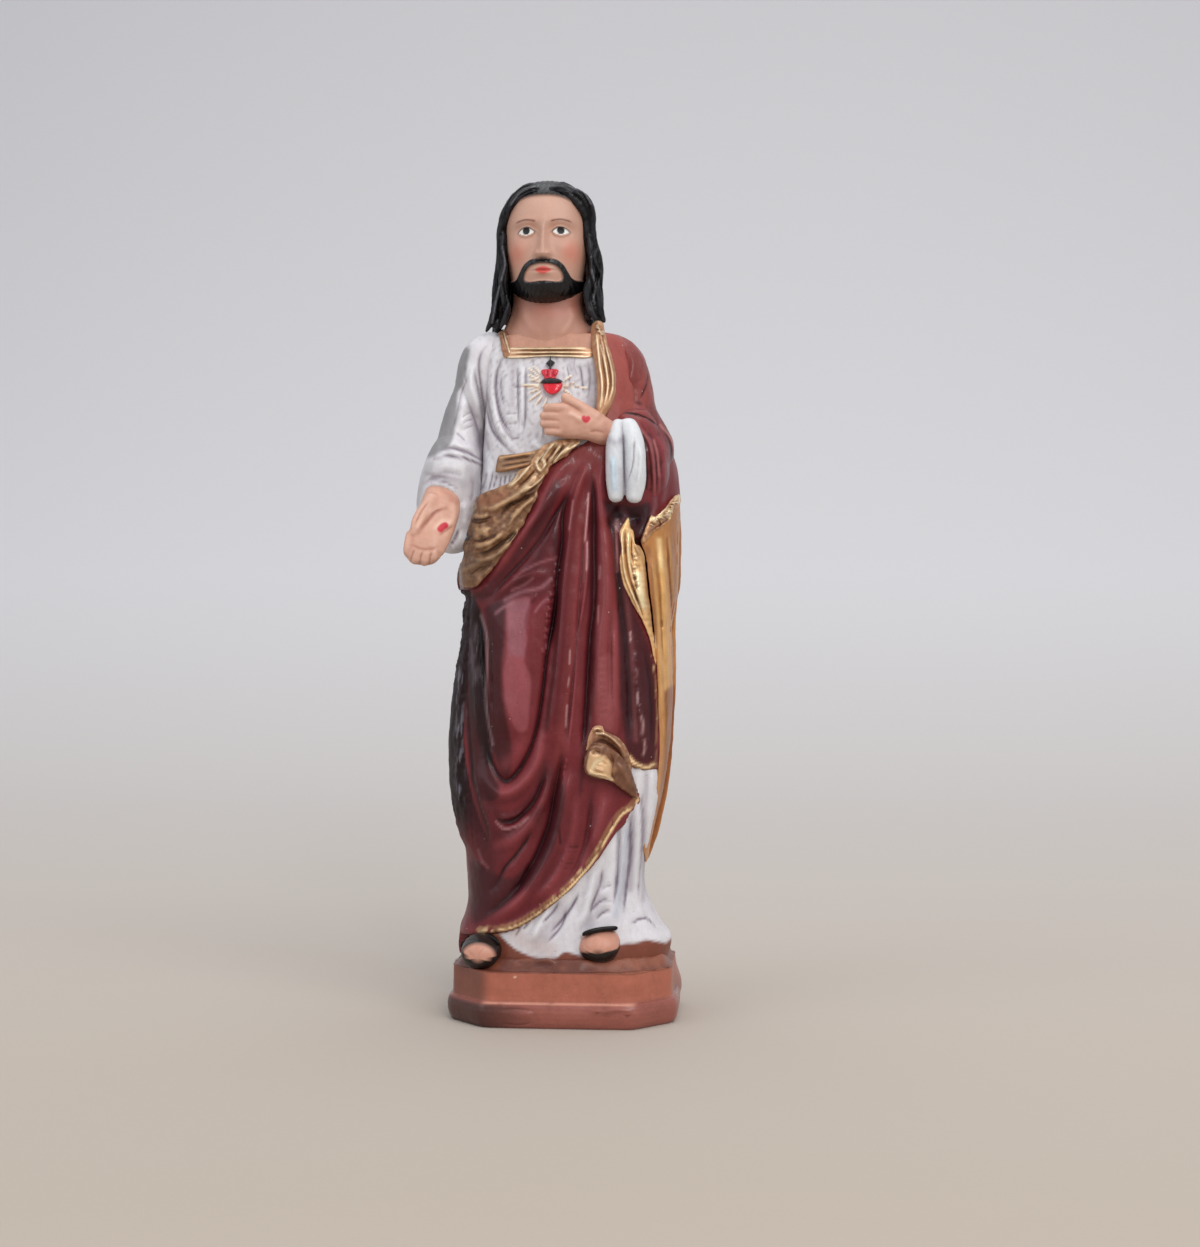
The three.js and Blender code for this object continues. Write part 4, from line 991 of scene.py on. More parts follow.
# Flat painted shade in the mantle's valleys, the cuff's pocket and the back fall, and painted sheen on the
# thigh and the pleats
mantlePatches = [
    (colour(76, 26, 32), 0.6, 1.2, (470, 594), (478, 602), (498, 612), (530, 602), (551, 590), (557, 560),
     (556, 520), (546, 520), (530, 548), (505, 580), (484, 594)),
    (colour(132, 64, 66), 0.45, 1.0, (592, 447), (572, 462), (551, 480), (538, 503), (546, 498),
     (562, 478), (580, 466)),
    (shadeMaroon, 0.75, 0.8, (562, 486), (556, 500), (540, 530), (520, 558), (502, 580), (490, 596),
     (478, 600), (470, 594), (480, 590), (497, 574), (511, 558), (524, 538), (535, 517), (546, 494),
     (556, 480)),
    (colour(50, 17, 22), 0.65, 0.7, (559, 536), (565, 545), (565, 570), (562, 620), (556, 690), (549, 730),
     (545, 725), (550, 680), (555, 620), (557, 570), (552, 540), (556, 510)),
    (colour(122, 50, 50), 0.5, 0.8, (574, 474), (584, 482), (583, 520), (581, 560), (579, 600), (573, 680),
     (565, 740), (556, 790), (549, 790), (556, 740), (562, 660), (566, 600), (568, 540)),
    (colour(62, 20, 25), 0.8, 0.6, (588, 520), (594, 490), (597, 500), (598, 560), (597, 620), (594, 690),
     (590, 728), (586, 745), (582, 790), (579, 790), (584, 730), (587, 680), (589, 620), (588, 560)),
    (colour(138, 64, 66), 0.6, 0.5, (600, 515), (612, 535), (616, 580), (617.5, 640), (618, 730),
     (605, 728), (597, 735), (594, 700), (596, 640), (599, 580)),
    (colour(156, 86, 88), 0.45, 0.8, (599, 660), (610, 655), (614, 700), (612, 730), (600, 726),
     (596, 700)),
    (colour(50, 18, 23), 0.75, 0.5, (618, 540), (622, 580), (632, 606), (643, 632), (650, 650), (655, 680),
     (656, 720), (655, 757), (645, 764), (632, 760), (625, 740), (621, 700), (619, 640), (618, 590)),
    (deepShadeMaroon, 0.9, 0.8, (603, 500), (616, 504), (632, 506), (648, 502), (652, 512), (648, 528),
     (640, 541), (633, 531), (629, 517), (620, 524), (612, 520), (606, 510)),
    (thighSheenMaroon, 0.6, 0.5, (506, 606), (512, 600), (530, 598), (524, 620), (527, 640), (524, 660),
     (531, 680), (529, 710), (527, 729), (520, 732), (512, 722), (505, 700), (503.6, 670), (507, 655),
     (508, 630)),
    (colour(134, 96, 106), 0.4, 0.9, (506, 602), (529, 600), (526, 622), (524, 655), (514, 655),
     (508, 645)),
    (colour(56, 13, 18), 0.9, 0.6, (484, 608), (494, 604), (504, 606), (504.5, 640), (501.5, 668),
     (503, 700), (510, 735), (512, 760), (507, 779), (498, 765), (491, 735), (488, 690), (488, 650)),
    (colour(52, 19, 24), 0.75, 0.8, (470, 853), (480, 862), (492, 872), (512, 878), (530, 862), (545, 838),
     (552, 812), (560, 775), (565, 800), (558, 835), (545, 862), (528, 884), (505, 905), (480, 922),
     (472, 920), (468, 890)),
    (shadeMaroon, 0.55, 0.8, (490, 800), (500, 812), (512, 812), (526, 800), (538, 780), (544, 760),
     (547, 770), (541, 792), (528, 812), (512, 820), (498, 816)),
    (colour(16, 6, 9), 0.92, 0.4, (467, 592), (474, 598), (481, 612), (486, 636), (486.5, 664), (486, 700),
     (489, 740), (493, 760), (486, 765), (478, 740), (470, 700), (468, 660), (467, 620)),
    (colour(46, 14, 18), 0.8, 0.5, (467, 690), (474, 700), (480, 735), (490, 765), (500, 790), (494, 800),
     (482, 800), (474, 785), (469, 757), (466, 720))]
backMantle = [(463, 590), (471, 592), (470, 625), (468, 660), (466, 690), (464, 728), (465, 757),
    (469, 780), (474, 802), (482, 826), (489, 842), (484, 856), (470, 858), (440, 840), (430, 700),
    (450, 600)]
columnSide = [(655, 530), (664, 515), (676, 500), (690, 484), (705, 520), (705, 700), (690, 800),
    (655, 872), (645, 862), (657, 820), (664, 790), (668, 740), (670, 690), (670, 640), (674, 600),
    (676, 550)]


mantleSizes = {"sides": 256, "rows": 280, "levels": [(0, 10.8), (1, 163.8)], "unevenness": 0.06,
    "rough": 0.38, "goldMetal": 0.35}
# The strip colours paint the back fall on the left near-black as painted shade, with a painted glint
# colour; the Lit colours are painted highlight.
mantlePaint = {"upper": colour(146, 72, 66), "upperLit": colour(166, 88, 78), "behind": colour(70, 25, 32),
    "strip": colour(44, 11, 17), "stripDark": colour(16, 6, 9), "stripGlint": colour(112, 106, 116),
    "column": colour(160, 104, 68), "columnLit": colour(196, 142, 92), "hem": colour(142, 96, 72),
    "hemLit": colour(236, 202, 154)}


def makeMantle():
    paints = mantlePaint
    mantle = bodyPiece("mantle", mantleSizes["sides"], mantleSizes["rows"], mantleSizes["levels"],
        mantleOffset)
    hems = [("fold", 0.45, 0.8, *hemLine), ("crease", 0.6, 0.22, *hemLine), ("fold", 0.45, 0.6, *lobeLine),
        ("fold", 0.3, 0.3, *lobeEdge)]
    hems += beads([(556.5, 563), (552, 583), (549, 603), (546, 630), (544, 660)], 15, 0.7, 0.5, 23)
    carved = carve(mantle, mantleFolds + hems, mantleBackFolds, mantleSizes["unevenness"], 21)
    points = pointsOf(mantle)
    at = seen(points)
    rear = ease(-0.2, 0.3, depthIn(backMantle, at)) * ease(7, 1, points[:, 1]) * (points[:, 0] < 0)
    rear *= ease(34, 50, points[:, 2])
    inward = ease(449, 456, at[:, 0])
    long, short = wobble(points * [1, 1, 0.4], 2.2, 27), wobble(points * [1, 1, 2.2], 2.0, 28)
    wrinkle = (0.3 * np.abs(long) + 0.12 * short - 0.3) * inward
    setPoints(mantle, points + normalsOf(mantle) * (rear * wrinkle)[:, None])
    brick = ease(124, 146, points[:, 2])[:, None]
    base = mix(washedAndShaded(mantle, carved, maroon, maroonLit, maroonDark, 3, 20, 0.78),
        washedAndShaded(mantle, carved, paints["upper"], paints["upperLit"], maroonDark, 3, 20, 0.7), brick)
    base = patched(mantle, base, mantlePatches)
    behind = ease(0, 8, points[:, 1]) * ease(16, 4, points[:, 0])
    base = mix(base, paints["behind"], 0.6 * behind)
    # Painted shade: the back fall on the left is painted near-black, darkest at its outer edge
    strip = mix(paints["strip"], paints["stripDark"], ease(474, 462, at[:, 0]))
    base = mix(base, strip, 0.95 * rear)
    base = toned(mantle, base, mantleTones)
    # Painted glints streaked along the dark back fall
    glint = bell((at[:, 0] - 459) / 4) * ease(660, 680, at[:, 1]) * ease(815, 790, at[:, 1])
    glint *= rear * ease(0.3, 0.7, wobble(points * [0.7, 0.7, 0.2], 1.1, 30))
    base = mix(base, paints["stripGlint"], glint * ease(2.5, 0.5, points[:, 1]))
    front = points[:, 1] < 0
    side = ease(-0.2, 0.2, depthIn(columnSide, at)) * ease(5, 3, points[:, 1]) * (points[:, 0] > 0)
    streak = np.clip(0.5 + 0.5 * wobble(points * [1, 1, 0.12], 1.2, 29), 0, 1)
    base = mix(base, mix(paints["column"], paints["columnLit"], streak), side)
    hem = np.maximum(lineMask(at, hemLine, 0.85, 0.2), lineMask(at, lobeLine, 0.9, 0.3)) * front
    ragged = ease(-0.9, -0.3, wobble(points, 2.5, 31) + 0.4)
    hem = np.maximum(hem * ragged, lineMask(at, lobeEdge, 0.16, 0.3) * front)
    # Painted highlight along the hem's raised edge and the lobe's edge, with bright streaks at random;
    # painted shade darkens the hem's hollows
    brightEdge = lineMask(at, [(x + 1.0, y + 1.5) for x, y in hemLine], 0.26, 0.6)
    brightEdge = brightEdge * ease(-1.1, 0.0, wobble(points, 3.5, 32))
    brightEdge = np.maximum(brightEdge, lineMask(at, [(x, y - 1) for x, y in lobeLine], 0.3, 0.6))
    bright = np.clip(brightEdge + 0.5 * ease(0.2, 1.2, wobble(points, 2.2, 33)), 0, 1)
    hemPaint = mix(paints["hem"], paints["hemLit"], bright)
    base = mix(base, mix(hemPaint, goldDark, 0.5 * np.clip(hollow(mantle, 2), 0, 1)), hem)
    paint(mantle, base, metal=mantleSizes["goldMetal"] * np.maximum(hem, side),
        rough=mantleSizes["rough"] + 0.3 * rear)
    finishPiece(mantle, finishes["mantle"])


makeMantle()
print("mantle ready")


def goldPaint(piece, carved, base=gold, lit=goldLit, washAndShade=goldDark, metal=0.4, rough=0.38, share=0.8,
        tones=(), patches=()):
    shade = washedAndShaded(piece, carved, base, lit, washAndShade, 2, 8, share, 0.9)
    shade = toned(piece, patched(piece, shade, patches), tones)
    paint(piece, shade, metal=metal, rough=rough)
    finishPiece(piece, finishes["gold"])


liningWrap = {"thick": 1.4, "mesh": {"sides": 150, "rows": 170, "standOff": 1.0}, "unevenness": 0.14,
    "gold": colour(176, 130, 94), "shaded": colour(120, 82, 56), "shadedLit": colour(190, 154, 118),
    "mottle": colour(196, 164, 126), "hole": colour(20, 20, 18), "metal": 0.35, "rough": 0.36}


def makeWrap():
    left = [(457, 588), (455.5, 578), (459, 567), (464, 554), (461, 544), (462, 531), (467, 517),
        (471, 506), (474, 499), (487, 491.5), (500, 486.5), (511, 481), (518, 471), (528, 466.5),
        (534, 457), (544, 444), (556, 437)]
    right = [(462, 592), (476, 588), (487, 576), (497, 564), (504, 554), (510, 546), (516, 536),
        (521, 528), (526, 519), (531, 509), (536, 498), (541, 484), (547, 473), (552, 466), (564, 458),
        (575, 448.5), (591, 440)]
    wrap = stripPiece("liningWrap", left, right, liningWrap["thick"], **liningWrap["mesh"])
    lines = [
        ("fold", 1.1, 0.8, (474, 509), (492, 508), (509, 500), (524, 490), (538, 478)),
        ("crease", 1.4, 0.55, (539, 489), (525, 498), (510, 505), (501.6, 514), (502.4, 519)),
        ("crease", 0.7, 0.4, (470, 520), (484, 519), (495, 516)),
        ("fold", 1.0, 0.6, (536, 496), (524, 506), (514, 516), (507, 528)),
        ("crease", 0.9, 0.45, (505, 545), (512, 538), (518, 530)),
        ("crease", 1.3, 0.5, (473, 552.7), (485.5, 552.7), (498, 546), (509, 537), (518, 528)),
        ("fold", 1.0, 0.7, (466, 558), (484, 560), (500, 552), (513, 538), (522, 524)),
        ("fold", 0.8, 0.6, (468, 546), (482, 545), (494, 540), (505, 530)),
        ("crease", 0.9, 0.4, (468, 578), (476, 571), (486, 567), (494, 562)),
        ("fold", 0.6, 0.6, (462, 573), (472, 566), (484, 564)),
        ("crease", 1.8, 0.7, (464, 532), (466, 535.5), (467, 539)),
        ("fold", 1.0, 0.4, (556, 440), (547, 451), (537, 463)),
        ("crease", 1.0, 0.35, (549, 447), (541, 459), (534, 470)),
        ("fold", 1.0, 0.45, (563, 442), (555, 453), (548, 463)),
        ("crease", 0.9, 0.35, (560, 442), (551, 455), (543, 466)),
        ("fold", 0.9, 0.45, (572, 443), (561, 453), (552, 464)),
        ("crease", 0.9, 0.35, (567, 444), (557, 455), (550, 466)),
        ("fold", 0.7, 0.45, (583, 441), (570, 449), (560, 457)),
        ("fold", 0.9, 0.35, (538, 458), (537, 466), (541, 471), (545, 464), (541, 457)),
        ("fold", 1.0, 0.5, (534, 460), (524, 473), (514, 483), (505, 489)),
        ("crease", 0.9, 0.4, (537, 468), (527, 479), (516, 488)),
        ("fold", 0.7, 0.4, (546, 474), (536, 484), (524, 492)),
        ("crease", 0.8, 0.4, (544, 478), (536, 486), (526, 494)),
        ("fold", 0.9, 0.5, (474, 500), (470, 509), (467, 518)),
        ("fold", 0.8, 0.5, (468, 520), (464, 527), (463, 531)),
        ("fold", 0.6, 0.8, (472, 538), (480, 533), (490, 534))]
    lines += beads([(474, 500), (468, 515), (463, 529)], 6, 0.8, 0.55, 9)
    lines += [
        ("fold", 0.8, 0.7, (471, 512), (478, 517), (490, 514)),
        ("fold", 0.6, 0.6, (472, 527), (482, 530), (492, 526)),
        ("crease", 0.7, 0.4, (469, 520), (478, 523), (490, 520)),
        ("crease", 0.6, 0.4, (470, 541), (484, 540), (498, 533))]
    carved = carve(wrap, lines, [], liningWrap["unevenness"], 33)
    points = pointsOf(wrap)
    at = seen(points)
    crumple = 0.12 * wobble(points, 3.2, 34) + 0.04 * wobble(points, 1.2, 35)
    setPoints(wrap, points + normalsOf(wrap) * crumple[:, None])
    low = ease(476, 500, at[:, 1])[:, None]
    shade = mix(washedAndShaded(wrap, carved, liningWrap["gold"], goldLit, goldDark, 2, 8, 1.0, 0.9),
        washedAndShaded(wrap, carved, liningWrap["shaded"], liningWrap["shadedLit"], bronzeDark, 2, 8, 1.0, 0.9),
        low)
    shade = mix(shade, liningWrap["mottle"], 0.4 * ease(0.6, 1.4, wobble(points, 2.2, 36)))
    # Flat painted shade in the wrap's folds
    shade = patched(wrap, shade, [
        (colour(146, 92, 62), 0.6, 0.8, (474, 498), (490, 494), (506, 489), (508, 496), (494, 504),
         (476, 507)),
        (colour(96, 60, 44), 0.6, 0.6, (540, 484), (530, 492), (514, 502), (508, 510), (512, 504),
         (528, 498), (538, 490)),
        (colour(96, 70, 54), 0.5, 1.0, (470, 556), (486, 552), (500, 546), (510, 538), (500, 556),
         (488, 570), (474, 572)),
        (colour(112, 82, 60), 0.5, 1.0, (462, 566), (478, 560), (492, 562), (480, 574), (466, 584),
         (458, 580))])
    # Painted highlights on the wrap's ridges
    highlightCream = colour(236, 214, 178)
    shade = toned(wrap, shade, [
        (highlightCream, 0.7, 0.45, (511, 484), (514, 481), (517, 476)),
        (highlightCream, 0.7, 0.4, (536, 504), (538, 498), (540, 492)),
        (highlightCream, 0.7, 0.35, (538, 458), (537, 466), (541, 471)),
        (highlightCream, 0.6, 0.3, (474, 502), (475, 507), (473, 510)),
        (highlightCream, 0.5, 0.3, (523, 487), (530, 481), (537, 474)),
        (highlightCream, 0.5, 0.3, (556, 441), (548, 451), (541, 460)),
        (highlightCream, 0.5, 0.3, (572, 443), (562, 452), (554, 461)),
        (highlightCream, 0.6, 0.35, (467, 514), (469, 518), (466, 521))])
    rim = [(446, 590), (450, 570), (457.5, 569), (458, 580), (463, 586.5), (476, 586.5), (484, 578),
        (490, 584), (484, 600), (440, 600)]
    shade = mix(shade, dullMaroon, ease(-0.1, 0.1, depthIn(rim, at)))
    # The hole in the fold is painted near-black as its shade
    hole = lineMask(at, [(464, 532), (466.5, 535.5), (467, 538)], 0.75, 0.3)
    paint(wrap, mix(shade, liningWrap["hole"], hole), metal=liningWrap["metal"] - 0.2 * low[:, 0],
        rough=liningWrap["rough"])
    finishPiece(wrap, finishes["gold"])


makeWrap()
print("wrap ready")


# Trims of gold cloth. Each strip lies between two lines of the photograph, left and right.
def makeTrim(name, trim):
    if "stops" in trim:
        piece = limbPiece(name, trim["stops"][::-1], **trim["mesh"])
    else:
        piece = stripPiece(name, trim["left"], trim["right"], trim["thick"], **trim["mesh"])
    carved = carve(piece, trim["lines"], [], trim["unevenness"], trim["seed"])
    goldPaint(piece, carved, **trim["paint"], tones=trim["tones"], patches=trim.get("patches", ()))


belt = {"left": [(494.5, 471.5), (498.5, 457), (506, 454.5), (520, 453), (534, 450.5), (546, 446)],
    "right": [(495.5, 473), (503, 472), (508, 471), (518, 469), (532, 465), (546, 459)],
    "thick": 1.0, "mesh": {"sides": 60, "rows": 90, "standOff": 0.3}, "unevenness": 0.08, "seed": 41,
    "paint": {"base": bronze, "lit": gold, "washAndShade": bronzeDark, "metal": 0.3},
    "lines": [
        ("crease", 0.5, 0.25, (500, 460.5), (512, 459), (534, 455.5)),
        ("crease", 0.4, 0.25, (499, 466), (512, 464.5), (534, 460.5)),
        ("fold", 0.4, 0.3, (500, 457.5), (512, 456), (534, 452.5)),
        ("fold", 0.3, 0.3, (498, 469), (510, 468), (532, 463))],
    # Painted highlight along the belt's fold and painted shade along its crease
    "tones": [
        (colour(206, 166, 122), 0.6, 0.25, (500, 457.5), (512, 456), (534, 452.5)),
        (colour(92, 62, 46), 0.5, 0.3, (500, 462), (512, 460.5), (534, 457))]}
makeTrim("belt", belt)

# Golds for painted light on the trims: brightGold and shineGold are painted highlight, shadeGold is painted
# shade
brightGold, shineGold, shadeGold = colour(246, 226, 190), colour(252, 236, 192), colour(140, 90, 60)
neckBand = {"left": [(507, 347), (520, 347), (550, 346.5), (592, 346.5)],
    "right": [(504, 358), (520, 358), (550, 356.5), (595, 358.5)],
    "thick": 0.7, "mesh": {"sides": 50, "rows": 220, "standOff": -0.9}, "unevenness": 0.05, "seed": 42,
    "paint": {"base": colour(194, 148, 114), "lit": brightGold},
    "lines": [
        ("fold", 0.4, 0.14, (510, 348.6), (540, 348.6), (585, 348.2)),
        ("crease", 0.6, 0.2, (509, 350.6), (550, 350.4), (592, 350.4)),
        ("fold", 0.4, 0.14, (508, 352.8), (550, 352.4), (592, 352.4)),
        ("crease", 0.6, 0.2, (507, 354.6), (550, 354), (592, 354.6)),
        ("fold", 0.4, 0.2, (505, 357.4), (520, 357), (550, 355.8), (575, 356.2), (594, 357.6))],
    "tones": [
        (brightGold, 0.85, 0.16, (508, 348.6), (540, 348.6), (585, 348.2)),
        (brightGold, 0.6, 0.13, (508, 352.8), (550, 352.4), (592, 352.4)),
        (brightGold, 0.95, 0.2, (505, 357.4), (520, 357), (550, 355.8), (575, 356.2), (594, 357.6))]}
makeTrim("neckBand", neckBand)

neckEdge = {"left": [(504.5, 359), (501, 345), (498, 331)],
    "right": [(511, 354), (508.5, 341), (505.5, 329)],
    "thick": 0.9, "mesh": {"standOff": -0.8}, "unevenness": 0.1, "seed": 43,
    "paint": {"base": colour(150, 98, 70)},
    "lines": [
        ("crease", 0.5, 0.3, (508.5, 352), (505, 341), (502, 330)),
        ("fold", 0.9, 0.6, (507, 334), (509, 336.5), (508, 339))],
    "tones": [
        (brightGold, 0.8, 0.16, (509.5, 352), (506.5, 343), (504, 333))]}
makeTrim("neckEdge", neckEdge)

collarStrip = {"stops": stops((597.5, 327, -4.2, 1.5, 1.7), (599.5, 345, -8.0, 1.9, 1.7),
        (604.5, 366, -11.0, 2.3, 1.6), (606.5, 386, -12.6, 2.3, 1.5), (604.5, 402, -13.4, 1.9, 1.4),
        (600.5, 414, -13.8, 1.2, 1.2)),
    "mesh": {"sides": 70, "rows": 130}, "unevenness": 0.08, "seed": 44,
    "paint": {"base": colour(176, 126, 92)},
    "lines": [
        ("crease", 0.8, 0.28, (598.5, 330), (603, 360), (605.5, 385), (603, 408)),
        ("fold", 0.5, 0.25, (596.5, 335), (599.5, 363), (602, 385), (600.5, 407)),
        ("crease", 0.6, 0.22, (601.5, 330), (608, 362), (610, 385), (606, 406)),
        ("fold", 0.5, 0.25, (604, 340), (611, 366), (613, 386), (608.5, 404)),
        ("fold", 0.4, 0.2, (600.5, 345), (605.5, 366), (608, 386), (604.5, 404))
        ] + beads([(596, 326), (600, 330), (602, 334)], 7, 0.6, 0.35, 13),
    # painted highlight on the folds and painted shade beside them
    "tones": [
        (brightGold, 0.7, 0.16, (596.5, 335), (599.5, 363), (602, 385), (600.5, 407)),
        (brightGold, 0.6, 0.14, (600.5, 345), (605.5, 366), (608, 386), (604.5, 404)),
        (colour(120, 74, 52), 0.6, 0.2, (604.5, 350), (610.5, 368), (612, 386)),
        (colour(130, 80, 56), 0.5, 0.3, (599, 326), (602, 332), (603, 340))]}
makeTrim("collarStrip", collarStrip)

liningLeaf = {"left": [(656.5, 668), (653.5, 658), (650.5, 642), (646, 629), (640.3, 617), (634.5, 607),
        (629.5, 597), (623.5, 585), (620.5, 572), (619.8, 560), (621.5, 548), (619.5, 534), (622, 526),
        (626.5, 517)],
    "right": [(657.5, 668), (656.5, 656), (655, 645), (652.5, 629), (650, 607), (648, 592), (646.5, 578),
        (645.5, 566), (644, 555), (640, 546.5), (635, 543), (633.5, 532), (630.5, 527), (630, 518)],
    "thick": 1.3, "mesh": {"sides": 90, "rows": 160, "standOff": 0.6, "sink": 3.0, "cloak": 0.7},
    "unevenness": 0.08, "seed": 45, "paint": {"base": colour(230, 182, 124)},
    "lines": [
        ("fold", 0.7, 0.3, (628, 520), (622, 534), (622.5, 552), (625.5, 575), (634, 598), (645, 622)),
        ("crease", 0.9, 0.28, (627, 526), (625, 536), (625.5, 553), (629, 576), (638, 602), (647, 626)),
        ("fold", 0.6, 0.3, (629.5, 528), (628, 552), (631, 574), (638, 595), (648, 620)),
        ("crease", 0.6, 0.25, (631.5, 535), (631.5, 552), (634, 566)),
        ("fold", 0.9, 1.0, (637, 566), (639, 582), (643, 604)),
        ("crease", 0.9, 0.35, (634.5, 576), (635, 579), (635.2, 581)),
        ("crease", 0.7, 0.35, (635.5, 584), (636, 587), (636, 589)),
        ("fold", 0.5, 0.35, (634, 534), (636, 546), (641, 555))
        ] + beads([(634, 550), (635, 570), (638, 590)], 6, 0.4, 0.35, 14),
    # painted highlight on the leaf's raised plateau and folds, painted shade in its creases
    "tones": [
        (shineGold, 0.85, 0.8, (638, 575), (639.5, 588), (643, 605)),
        (shineGold, 0.6, 0.25, (622, 534), (622.5, 552), (625.5, 575), (634, 598)),
        (shineGold, 0.5, 0.3, (629, 530), (628.5, 548), (630, 562)),
        (colour(240, 196, 138), 0.8, 0.7, (624, 556), (627, 572), (631, 588)),
        (shadeGold, 0.6, 0.25, (625, 534), (625.5, 553), (629, 576), (637, 600)),
        (shadeGold, 0.7, 0.4, (634.5, 577), (635.5, 582), (636, 589)),
        (shadeGold, 0.5, 0.6, (645, 566), (647.5, 595), (651, 625)),
        (colour(150, 98, 62), 0.5, 0.9, (637, 547), (641, 553), (644, 562))]}
makeTrim("liningLeaf", liningLeaf)

liningFall = {"left": [(645, 862), (643.5, 848), (647, 833), (649, 811), (655, 791), (658.5, 768),
        (659.5, 743), (658.5, 710), (657.5, 680), (655.5, 650), (653.5, 622), (651, 600), (648, 575),
        (645.5, 556), (641, 541), (645, 531), (650, 520)],
    "right": [(647, 863), (653, 848), (660.5, 824), (667.5, 790), (672, 754), (674.5, 710), (676, 680),
        (676, 650), (675.5, 625), (677.5, 600), (680.5, 583), (681.2, 556), (681.4, 535), (681, 515),
        (680, 495)],
    "thick": 1.0, "unevenness": 0.05, "seed": 46,
    "mesh": {"sides": 84, "rows": 210, "standOff": -0.3, "sink": 2.2, "cloak": 1, "flat": 0.3},
    "base": colour(190, 130, 76), "lit": colour(238, 200, 132), "washAndShade": colour(110, 70, 42),
    "pale": colour(206, 186, 172), "slot": colour(38, 18, 18), "metal": 0.35, "rough": 0.36,
    "lines": [
        ("fold", 0.7, 0.6, (652, 545), (655, 590), (659, 640), (663, 720)),
        ("crease", 0.6, 0.3, (657, 560), (659.5, 590), (662, 640), (664, 680)),
        ("fold", 0.9, 0.9, (660, 540), (662.5, 575), (665, 620), (668, 680), (667, 760)),
        ("crease", 0.8, 0.28, (666.5, 536), (669.5, 576), (671.5, 607), (672, 640)),
        ("fold", 0.5, 0.25, (669, 530), (672, 576), (673, 600)),
        ("crease", 0.6, 0.28, (673, 522), (675.5, 560), (675, 598)),
        ("fold", 0.5, 0.4, (678, 515), (679, 560), (676.5, 600)),
        ("crease", 0.4, 0.25, (677, 530), (677.5, 560), (675.5, 590)),
        ("crease", 0.7, 0.22, (662, 619), (662.2, 624), (662, 629)),
        ("fold", 0.3, 0.3, (668, 700), (666, 750), (660, 800))],
    # painted shade at the fall's sides and lower down
    "patches": [
        (colour(150, 98, 64), 0.65, 0.4, (640, 541), (652, 552), (656, 600), (658, 640), (655, 640),
         (650, 600), (646, 560)),
        (colour(158, 106, 72), 0.6, 0.4, (669, 520), (684, 500), (684, 580), (676, 605), (672, 600),
         (670, 560)),
        (colour(140, 80, 44), 0.85, 0.5, (664, 690), (678, 690), (672, 760), (658, 830), (650, 850),
         (660, 790), (665, 740))],
    # painted highlight along the fall's ridges and painted shade in a crease
    "tones": [
        (colour(250, 220, 160), 0.75, 0.6, (659, 540), (660, 552), (662, 570)),
        (colour(222, 170, 104), 0.6, 0.9, (662, 570), (665, 600), (666, 630), (667, 670)),
        (colour(222, 178, 124), 0.6, 0.3, (661.5, 650), (664, 670), (665.5, 690)),
        (colour(120, 76, 50), 0.7, 0.22, (667, 538), (669.5, 576), (671.5, 607)),
        (colour(214, 160, 108), 0.4, 0.6, (661, 700), (661.5, 750), (657, 800))]}


def makeFall():
    fall = stripPiece("liningFall", liningFall["left"], liningFall["right"], liningFall["thick"],
        **liningFall["mesh"])
    carved = carve(fall, liningFall["lines"], [], liningFall["unevenness"], liningFall["seed"])
    shade = washedAndShaded(fall, carved, liningFall["base"], liningFall["lit"], liningFall["washAndShade"], 2, 8, 0.5, 0.5)
    shade = toned(fall, patched(fall, shade, liningFall["patches"]), liningFall["tones"])
    at = seen(pointsOf(fall))
    # The slot between leaf and fall is painted near-black as its shade
    slot = lineMask(at, [(646, 563), (648, 592), (651, 610), (652.5, 630)], 0.36, 0.25)
    pale = lineMask(at, [(653.3, 633), (654.3, 640), (655.3, 648)], 0.3, 0.3)
    shade = mix(mix(shade, liningFall["pale"], pale), liningFall["slot"], slot)
    paint(fall, shade, metal=liningFall["metal"] * (1 - slot) * (1 - pale), rough=liningFall["rough"])
    finishPiece(fall, finishes["gold"])


makeFall()

liningTrim = {"left": [(640, 541), (647, 526), (651, 515.5), (656, 517), (664, 509), (670, 502),
        (674, 497), (679, 493)],
    "right": [(644, 545), (652, 534), (656, 531), (663, 526), (670, 518), (674, 511), (678.6, 505),
        (681, 500)],
    "thick": 1.2, "mesh": {"sides": 80, "rows": 130, "standOff": 1.1, "cloak": 1, "sink": 3.0},
    "unevenness": 0.18, "seed": 47, "paint": {"base": gold},
    "lines": beads([(650, 524), (666, 514), (679, 499)], 16, 0.9, 0.45, 12) + [
        ("crease", 0.8, 0.35, (648, 534), (657, 527), (668, 519), (677, 508)),
        ("fold", 0.8, 0.4, (652, 518), (660, 514), (670, 504)),
        ("crease", 0.8, 0.35, (657, 517), (660, 523), (659, 528)),
        ("crease", 0.8, 0.35, (668, 505), (671, 512), (669, 519))],
    "tones": [
        (shineGold, 0.85, 0.5, (652, 519), (658, 517), (662, 513)),
        (shineGold, 0.7, 0.4, (668, 508), (671, 512), (670, 518)),
        (shineGold, 0.6, 0.3, (675, 500), (679, 496), (680, 503)),
        (shadeGold, 0.6, 0.5, (646, 536), (652, 530), (660, 526)),
        (shadeGold, 0.5, 0.3, (664, 512), (666, 518), (664, 522))]}
makeTrim("liningTrim", liningTrim)

